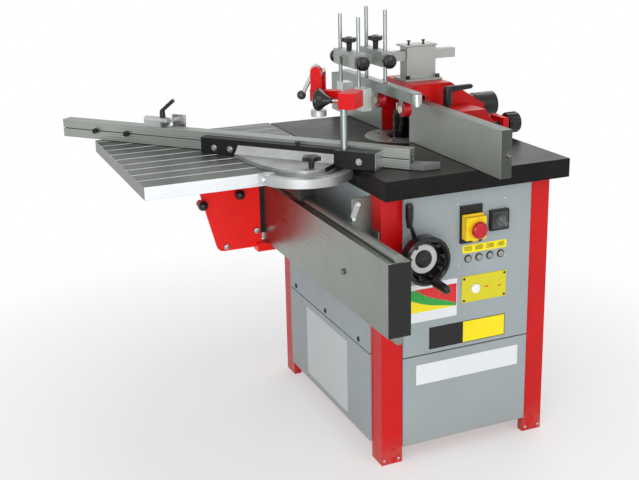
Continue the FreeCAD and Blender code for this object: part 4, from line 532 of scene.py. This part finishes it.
dress("cabinet_frame", RED, 2.0, 3)
dress("cabinet_covers", GREY, 2.2, 3)
dress("control_panel", GREY, 2.2, 3)
dress("panel_hardware", BLACK_STEEL, 0.6, 2, [
    (lambda low, high: tall(low, high) > 60, BLACK)])
dress("main_table", IRON, 1.6, 2)
dress("insert_rings", RING, 0.8, 2)
dress("spindle_shaft", STEEL, 0.6)
dress("spindle_spacers", BLACK_STEEL, 0.8, 2)
dress("fence_hood", RED_CAST, 3.5, 3)
dress("dust_port", BLACK, 1.0, 2)
dress("fence_plate_left", FENCE_LEFT_SHADED, 0.7)
dress("fence_plate_right", FENCE, 0.7)
dress("fence_carrier", RED_CAST, 3.0, 3)
dress("adjust_knob", BLACK, 0.8, 2)
dress("fence_lever", BLACK, 1.8, 3)
dress("tube_bracket", PLATE_ALU, 1.2, 2, [
    (lambda low, high: wide(low, high) < 16, BLACK_STEEL)])
dress("hold_tube", PLATE_ALU, 1.0, 2)
for name in ("star_knob_front", "star_knob_rear", "mitre_knob"):
    dress(name, BLACK, 1.0, 2)
for name in ("round_knob_front_left", "round_knob_front_right", "round_knob_rear"):
    dress(name, BAKELITE, 1.0, 2)
dress("arm_knob", BAKELITE, 1.0, 2, [
    (lambda low, high: tall(low, high) < 10, STEEL)])
dress("presser_shoe", SHOE, 0.8, 2)
dress("roller_beam", ROLLER_BEAM, 0.9, 2)
for name in ("roller_left", "roller_right"):
    dress(name, RED_PLASTIC, 1.0, 2)
dress("guide_beam", BEAM, 1.4, 2)
dress("beam_fittings", ZINC, 0.8, 2, [
    (lambda low, high: wide(low, high) > 500, RAIL),
    (lambda low, high: wide(low, high) < 6 and tall(low, high) > 100, BLACK),
    (lambda low, high: tall(low, high) < 6, BLACK_STEEL)])
dress("sliding_table", SLIDE, 0.8, 2)
dress("quadrant", CAST_ALU, 1.6, 3)
dress("carriage", RED_LIT_PLATE, 1.4, 2, [
    (lambda low, high: tall(low, high) < 100, DARK_IRON)])
for name in ("plunger_front", "plunger_rear"):
    dress(name, BAKELITE, 0.5, 2)
dress("mitre_carrier", carrier_look("mitre_carrier"), 1.2, 2)
dress("mitre_fence", PROFILE, 0.5, 2, [
    (lambda low, high: wide(low, high) < 30, BLACK_STEEL),
    (lambda low, high: wide(low, high) < 100, WEDGE)])
dress("stop_block", CAST_ALU, 1.0, 2)
dress("stop_plate", STEEL, 0.8, 2)
dress("stop_lever", BLACK, 1.2, 3)
dress("clamp_post", POST, 0.8, 2)
dress("clamp_arm", RED_CAST, 2.2, 3)
dress("cam_lever", CAM, 0.8, 2)
dress("clamp_pad", CAST_ALU, 1.0, 2)
dress("panel_controls", BLACK, 1.2, 3, [
    (lambda low, high: tall(low, high) < 8, BLACK_STEEL),
    (lambda low, high: tall(low, high) < 20, LENS),
    (lambda low, high: wide(low, high) < 3, LABEL_OCHRE),
    (lambda low, high: low.z > 665 and high.z < 740 and low.y > 60, selector_look("selector_body"))])
dress("switch_flap", YELLOW, 2.0, 3)
dress("stop_button", RED_PLASTIC, 1.0, 2)
dress("selector_knob", KNOB_GREY, 1.0, 2)
dress("push_button", WHITE, 0.8, 2)
dress("handwheel", BAKELITE, 1.2, 2, [
    (lambda low, high: wide(low, high) < 20 and tall(low, high) > 70, DIAL)])
dress("crank_handle", BAKELITE, 1.5, 3)
dress("lock_lever", BLACK, 1.2, 2)


def keep(made, body, slot):
    """Puts a new piece on a body. Its slot argument is not used."""
    if made.name not in scene.collection.objects:
        scene.collection.objects.link(made)
    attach(made, body)
    return made


def from_bmesh(name, mesh, material, body, slot, smooth=30):
    bmesh.ops.recalc_face_normals(mesh, faces=mesh.faces)
    data = bpy.data.meshes.new(name)
    mesh.to_mesh(data)
    mesh.free()
    data.materials.append(material)
    for face in data.polygons:
        face.use_smooth = True
    data.set_sharp_from_angle(angle=math.radians(smooth))
    return keep(bpy.data.objects.new(name, data), body, slot)


def solid_outline(mesh, points, lift):
    """A closed slab from a flat ring of points, raised along lift, with a small chamfer."""
    centre = sum(points, Vector()) / len(points)
    inner = [p + (centre - p).normalized() * min(lift.length * 0.4, 0.0004) for p in points]
    rings = [points, [p + lift * 0.7 for p in points], [p + lift for p in inner]]
    verts = [[mesh.verts.new(p) for p in ring] for ring in rings]
    count = len(points)
    for low, high in zip(verts, verts[1:]):
        for i in range(count):
            j = (i + 1) % count
            mesh.faces.new((low[i], low[j], high[j], high[i]))
    mesh.faces.new(verts[0][::-1])
    mesh.faces.new(verts[-1])


def rounded(y0, y1, z0, z1, radius, x):
    """Corners of an upright rounded rectangle in the drawing, as model points."""
    points = []
    for cy, cz, start in ((y1 - radius, z1 - radius, 0), (y0 + radius, z1 - radius, 90),
                          (y0 + radius, z0 + radius, 180), (y1 - radius, z0 + radius, 270)):
        for step in range(5):
            turn = math.radians(start + step * 22.5)
            points.append(at(x, cy + radius * math.cos(turn), cz + radius * math.sin(turn)))
    return points


def label(name, box, material, slot, radius=2.0, x=PANEL, thick=0.5):
    """A thin plate on the right side of the cabinet."""
    mesh = bmesh.new()
    solid_outline(mesh, rounded(*box, radius, x), Vector((thick / 1000, 0, 0)))
    return from_bmesh(name, mesh, material, "frame", slot)


label("speed_label", (-19, 127, 612.5, 636.5), LABEL_YELLOW, "yellow_plastic", 5.0)
for step, text in enumerate(("9000", "6000", "3000", "1800")):
    curve = bpy.data.curves.new("speed_" + text, "FONT")
    curve.body = text
    curve.size = 0.0195
    curve.align_x = "CENTER"
    curve.align_y = "CENTER"
    curve.extrude = 0.0001
    curve.space_character = 1.05
    curve.offset = 0.0001
    made = bpy.data.objects.new("speed_" + text, curve)
    scene.collection.objects.link(made)
    made.matrix_world = (Matrix.Translation(at(PANEL + 0.55, LAMP_FIRST + LAMP_PITCH * step, 624.5))
                         @ Matrix(((0, 0, 1, 0), (1, 0, 0, 0), (0, 1, 0, 0), (0, 0, 0, 1)))
                         @ Matrix.Diagonal((0.62, 1.0, 1.0, 1.0)))
    bpy.context.view_layer.update()
    graph = bpy.context.evaluated_depsgraph_get()
    data = bpy.data.meshes.new_from_object(made.evaluated_get(graph))
    data.transform(made.matrix_world)
    bpy.data.objects.remove(made)
    data.materials.clear()
    data.materials.append(LABEL_BLACK)
    keep(bpy.data.objects.new("speed_" + text, data), "frame", "black_plastic")

# Cutting-speed chart: stepped bands with no lettering
CHART = (-196.0, -35.0, 430.0, 543.0)
label("chart_sheet", CHART, LABEL_WHITE, "white_plastic", 1.0)
STEPS = 20
GREEN_TOP = ((0.0, 0.12), (0.057, 0.124), (0.196, 0.157), (0.287, 0.262), (0.47, 0.393), (0.653, 0.486),
             (0.836, 0.564), (1.0, 0.667))
GREEN_LOW = ((0.0, 0.37), (0.057, 0.395), (0.287, 0.524), (0.47, 0.602), (0.653, 0.648), (0.836, 0.693),
             (1.0, 0.733))


def along(curve, share):
    for (a, b), (c, d) in zip(curve, curve[1:]):
        if share <= c:
            return b + (d - b) * (share - a) / (c - a)
    return curve[-1][1]


bands = {"red": bmesh.new(), "green": bmesh.new(), "yellow": bmesh.new()}
for step in range(STEPS):
    share = (step + 0.5) / STEPS
    y0 = CHART[0] + 1.5 + (CHART[1] - CHART[0] - 3.0) * step / STEPS
    y1 = CHART[0] + 1.5 + (CHART[1] - CHART[0] - 3.0) * (step + 1) / STEPS
    levels = [0.13, along(GREEN_TOP, share), along(GREEN_LOW, share), 0.74]
    for key, top, low in zip(bands, levels, levels[1:]):
        if low - top > 0.015:
            z1, z0 = (CHART[3] - (CHART[3] - CHART[2]) * part for part in (top, low))
            ring = [at(PANEL + 0.5, *p) for p in ((y0, z0), (y1 - 0.25, z0), (y1 - 0.25, z1), (y0, z1))]
            solid_outline(bands[key], ring, Vector((0.00015, 0, 0)))
for key, look, slot in (("red", LABEL_RED, "red_plastic"), ("green", LABEL_GREEN, "white_plastic"),
                        ("yellow", LABEL_YELLOW, "yellow_plastic")):
    from_bmesh("chart_" + key, bands[key], look, "frame", slot)

label("two_tone_plate", (-124, 128, 340, 407), LABEL_BLACK, "black_plastic", 1.5)
label("two_tone_half", (-13, 126, 342, 405), LABEL_YELLOW, "yellow_plastic", 1.0, PANEL + 0.5, 0.15)
label("name_plate", (-165, 176, 236, 298), LABEL_WHITE, "white_plastic", 1.5)
for number, (y, z) in enumerate(((62, 503), (106, 499))):
    label("plate_mark_%d" % number, (y - 6, y + 6, z - 2, z + 2), LABEL_RED, "red_plastic", 1.0,
          PANEL + 2.0, 0.2)


def dome(mesh, centre, axis, radius, high, sides=16, rings=4):
    """A low round head standing on a face."""
    turn = Vector((0, 0, 1)).rotation_difference(axis).to_matrix()
    rows = []
    for ring in range(rings):
        lean = math.pi / 2 * ring / rings
        rows.append([mesh.verts.new(centre + turn @ Vector((
            radius * math.cos(lean) * math.cos(2 * math.pi * side / sides),
            radius * math.cos(lean) * math.sin(2 * math.pi * side / sides),
            high * math.sin(lean)))) for side in range(sides)])
    tip = mesh.verts.new(centre + turn @ Vector((0, 0, high)))
    for low, upper in zip(rows, rows[1:]):
        for side in range(sides):
            after = (side + 1) % sides
            mesh.faces.new((low[side], low[after], upper[after], upper[side]))
    for side in range(sides):
        mesh.faces.new((rows[-1][side], rows[-1][(side + 1) % sides], tip))
    mesh.faces.new(rows[0][::-1])


def lathe(mesh, centre, axis, profile, sides=24):
    """A turned piece: rings of radius and height, in millimetres, along an axis from a point."""
    turn = Vector((0, 0, 1)).rotation_difference(axis).to_matrix()
    rows = []
    for radius, high in profile:
        rows.append([mesh.verts.new(centre + turn @ Vector((
            radius * math.cos(2 * math.pi * side / sides), radius * math.sin(2 * math.pi * side / sides),
            high)) / 1000) for side in range(sides)])
    for low, upper in zip(rows, rows[1:]):
        for side in range(sides):
            after = (side + 1) % sides
            mesh.faces.new((low[side], low[after], upper[after], upper[side]))
    mesh.faces.new(rows[0][::-1])
    mesh.faces.new(rows[-1])


def fasteners(name, node, material, slot, pieces, sides=24):
    """Turned pieces that move with a node. Each is a place, an axis and a profile."""
    mesh = bmesh.new()
    for centre, axis, profile in pieces:
        lathe(mesh, centre, axis, profile, sides)
    from_bmesh(name, mesh, material, NODES[node]["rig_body"], slot, 35)


def mitre_at(along, across, z):
    """A point of the mitre fence's own frame, at its set angle."""
    return at(MITRE_PIVOT[0] + along * math.cos(MITRE_TURN) - across * math.sin(MITRE_TURN),
              MITRE_PIVOT[1] + along * math.sin(MITRE_TURN) + across * math.cos(MITRE_TURN), z)


OUT = Vector((1, 0, 0))
UP = Vector((0, 0, 1))
FRONT = Vector((math.sin(MITRE_TURN), -math.cos(MITRE_TURN), 0))
SOCKET_SCREW = ((9.5, -0.5), (9.5, 1.6), (6.8, 1.7), (6.8, 6.0), (6.0, 7.0), (3.4, 7.0), (3.2, 4.0))
HEX_BOLT = ((10.5, -0.5), (10.5, 2.0), (7.8, 2.1), (7.8, 7.5), (6.6, 8.6))
ROUND_BOLT = ((9.6, -0.5), (9.6, 5.0), (8.6, 6.8), (5.0, 7.8))
SMALL_BOLT = ((6.5, -0.5), (6.5, 3.6), (5.6, 4.6))
PEG = ((5.5, -1.0), (5.5, 5.0), (7.6, 6.0), (7.6, 10.0), (6.0, 11.6))
fasteners("bar_screws", "mitre_carrier", STEEL, "steel", [
    (mitre_at(x, 45, 879), FRONT, SOCKET_SCREW) for x in (-319, -265)])
fasteners("holder_bolt", "mitre_carrier", STEEL, "steel", [(mitre_at(159.5, 25, 883.5), FRONT, HEX_BOLT)], 6)
fasteners("bar_peg", "mitre_carrier", BLACK, "black_plastic", [(mitre_at(-45, 53, 908), UP, PEG)])
fasteners("quadrant_screw", "quadrant", CHROME, "steel", [
    (at(196, -538.7, 849), Vector((0.293, -0.956, 0)), SMALL_BOLT)])
fasteners("carriage_bolts", "carriage", STEEL, "steel", [
    (at(-232, y, z), OUT, ROUND_BOLT) for y, z in ((-418.5, 566), (-520.5, 526))])
fasteners("hood_bolt", "fence_hood", BLACK_STEEL, "black_steel", [(at(9, 70, 988), OUT, SMALL_BOLT)], 6)

rivets = bmesh.new()
for y, z in ((-34, 760), (118, 760), (122, 586), (-30, 578)):
    dome(rivets, at(PANEL, y, z), Vector((1, 0, 0)), 0.0042, 0.0016)
from_bmesh("panel_rivets", rivets, STEEL, "frame", "steel", 60)

foot_screws = bmesh.new()
for side in (-1, 1):
    for y in (218, 264):
        dome(foot_screws, at(POST_FACE, y * side, 13), OUT, 0.0042, 0.0012)
from_bmesh("foot_screws", foot_screws, STEEL, "frame", "steel", 60)

lenses = bmesh.new()
for step in range(4):
    dome(lenses, at(PANEL + 3, LAMP_FIRST + LAMP_PITCH * step, LAMP_HIGH), OUT, 0.00905, 0.006, 24)
from_bmesh("lamp_lenses", lenses, LENS, "frame", "white_plastic", 60)

cover_screws = bmesh.new()
for x in (-255, -10, 235):
    dome(cover_screws, at(x, FRONT_FACE, 345), Vector((0, -1, 0)), 0.0085, 0.0042)
from_bmesh("cover_screws", cover_screws, BLACK_STEEL, "frame", "black_steel", 60)

front_plate = bmesh.new()
solid_outline(front_plate, [at(x, FRONT_FACE, z) for x, z in (
    (-166, 70), (152, 70), (152, 305), (-166, 305))], Vector((0, -0.0005, 0)))
from_bmesh("front_plate", front_plate, PLATE_PALE, "frame", "white_plastic")

# Cap of the handwheel: a ring and a small boss
fasteners("wheel_cap", "handwheel", BAKELITE, "black_plastic", [
    (at(434.4, *WHEEL), OUT, ((16.6, 0.0), (16.6, 1.6), (14.8, 1.6), (14.8, 0.0))),
    (at(435, *WHEEL), OUT, ((9.0, 0.0), (8.6, 2.4), (6.6, 3.6), (3.0, 4.2)))], 32)

# Links that hang the guide beam from its brackets
LINK_HIGH, LINK_LOW = (-316, 783), (-331, 744)
LINK_FACE, LINK_THICK, LINK_RADIUS = 319.0, 4.0, 8.0
LINK_BOLT = ((7.6, -0.5), (7.6, 5.0), (6.2, 6.4))
lean = math.degrees(math.atan2(LINK_HIGH[1] - LINK_LOW[1], LINK_HIGH[0] - LINK_LOW[0]))
links = bmesh.new()
for side in (-1, 1):
    ring = []
    for (y, z), start in ((LINK_HIGH, lean - 90), (LINK_LOW, lean + 90)):
        for step in range(9):
            turn = math.radians(start + step * 22.5)
            ring.append(at(LINK_FACE * side, y + LINK_RADIUS * math.cos(turn),
                           z + LINK_RADIUS * math.sin(turn)))
    solid_outline(links, ring, OUT * side * LINK_THICK / 1000)
from_bmesh("beam_links", links, STEEL, NODES["beam_fittings"]["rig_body"], "steel")
fasteners("link_bolts", "beam_fittings", CHROME, "steel", [
    (at((LINK_FACE + LINK_THICK) * side, *place), OUT * side, LINK_BOLT)
    for side in (-1, 1) for place in (LINK_HIGH, LINK_LOW)], 6)

glide = bmesh.new()
solid_outline(glide, [at(-241, y, z) for y, z in (
    (-404.5, 556), (-395.2, 556), (-395.2, 800), (-404.5, 800))], Vector((0.010, 0, 0)))
from_bmesh("carriage_glide", glide, BLACK, NODES["carriage"]["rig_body"], "black_plastic")

# Camera, solved from the photograph's straight edges
FOCAL, CENTRE_X, CENTRE_Y = 1052.1, 343.43, 196.78
PHOTO_WIDE, PHOTO_TALL = 639, 480
AZIMUTH, ELEVATION, ROLL = (math.radians(angle) for angle in (66.03, 15.793, -0.866))
EYE = at(2819.4, -1468.5, 1582.5)
forward = Vector((-math.sin(AZIMUTH) * math.cos(ELEVATION), math.cos(AZIMUTH) * math.cos(ELEVATION),
                  -math.sin(ELEVATION)))
level = Vector((math.cos(AZIMUTH), math.sin(AZIMUTH), 0.0))
rise = level.cross(forward)
right = level * math.cos(ROLL) + rise * math.sin(ROLL)
up = rise * math.cos(ROLL) - level * math.sin(ROLL)
lens = bpy.data.cameras.new("camera")
lens.sensor_width = 36.0
lens.lens = FOCAL / PHOTO_WIDE * lens.sensor_width
lens.shift_x = (PHOTO_WIDE / 2 - CENTRE_X) / PHOTO_WIDE
lens.shift_y = (CENTRE_Y - PHOTO_TALL / 2) / PHOTO_WIDE
lens.clip_end = 60.0
camera = bpy.data.objects.new("camera", lens)
camera.matrix_world = Matrix((right, up, -forward)).transposed().to_4x4()
camera.matrix_world.translation = EYE
scene.collection.objects.link(camera)
scene.camera = camera


def lamp(name, energy, size, position, aim, colour=(1, 1, 1)):
    light = bpy.data.lights.new(name, "AREA")
    light.shape = "RECTANGLE"
    light.energy = energy
    light.size, light.size_y = size
    light.color = colour
    made = bpy.data.objects.new(name, light)
    made.location = position
    made.rotation_euler = (Vector(aim) - Vector(position)).to_track_quat("-Z", "Y").to_euler()
    scene.collection.objects.link(made)


lamp("key", 43, (2.6, 2.0), (2.2, -3.0, 3.4), (0, 0, 0.6))
lamp("fill", 64, (2.4, 1.6), (3.6, -1.9, 1.0), (0, 0, 0.6))
lamp("side", 30, (2.4, 2.4), (3.8, 1.6, 2.4), (0, 0.2, 0.6))
lamp("back", 35, (3.0, 2.0), (-2.2, 2.6, 3.2), (0, 0, 0.9))

world = bpy.data.worlds.new("world")
scene.world = world
world.use_nodes = True
tree = world.node_tree
background = tree.nodes["Background"]
paths = tree.nodes.new("ShaderNodeLightPath")
SEEN_RAYS = ("Is Camera Ray", "Is Glossy Ray", "Is Transmission Ray")


def any_of(tree, paths, names):
    """1 for a ray of one of the named kinds."""
    value = paths.outputs[names[0]]
    for name in names[1:]:
        made = tree.nodes.new("ShaderNodeMath")
        made.operation = "MAXIMUM"
        tree.links.new(value, made.inputs[0])
        tree.links.new(paths.outputs[name], made.inputs[1])
        value = made.outputs[0]
    return value


power = tree.nodes.new("ShaderNodeMapRange")
power.inputs["To Min"].default_value = 0.45
power.inputs["To Max"].default_value = 1.0
tree.links.new(any_of(tree, paths, SEEN_RAYS), power.inputs["Value"])
tree.links.new(power.outputs[0], background.inputs["Strength"])
background.inputs["Color"].default_value = (1, 1, 1, 1)

floor_mesh = bpy.data.meshes.new("floor")
REACH = 30.0
floor_mesh.from_pydata([(-REACH, -REACH, -0.0005), (REACH, -REACH, -0.0005), (REACH, REACH, -0.0005),
                        (-REACH, REACH, -0.0005)], [], [(0, 1, 2, 3)])
floor = bpy.data.objects.new("floor", floor_mesh)
scene.collection.objects.link(floor)
floor_look = Shader("floor", 0.9, specular=0.1)
floor_look.colour((0.93, 0.93, 0.93, 1))
# Far from the machine the floor turns into the white of the backdrop
away = floor_look.add("ShaderNodeVectorMath", {0: floor_look.place}, operation="LENGTH").outputs["Value"]
rays = floor_look.add("ShaderNodeLightPath")
share = floor_look.math("MULTIPLY", floor_look.spread(away, 0.6, 1.8, 0.4, 1.0),
                        any_of(floor_look.tree, rays, SEEN_RAYS))
white = floor_look.add("ShaderNodeEmission", {"Color": (1, 1, 1, 1), "Strength": 1.0}).outputs[0]
blend = floor_look.add("ShaderNodeMixShader", {0: share, 1: floor_look.shader.outputs[0], 2: white})
floor_look.put(floor_look.tree.nodes["Material Output"].inputs["Surface"], blend.outputs[0])
floor_mesh.materials.append(floor_look.material)

scene.view_settings.view_transform = "Standard"
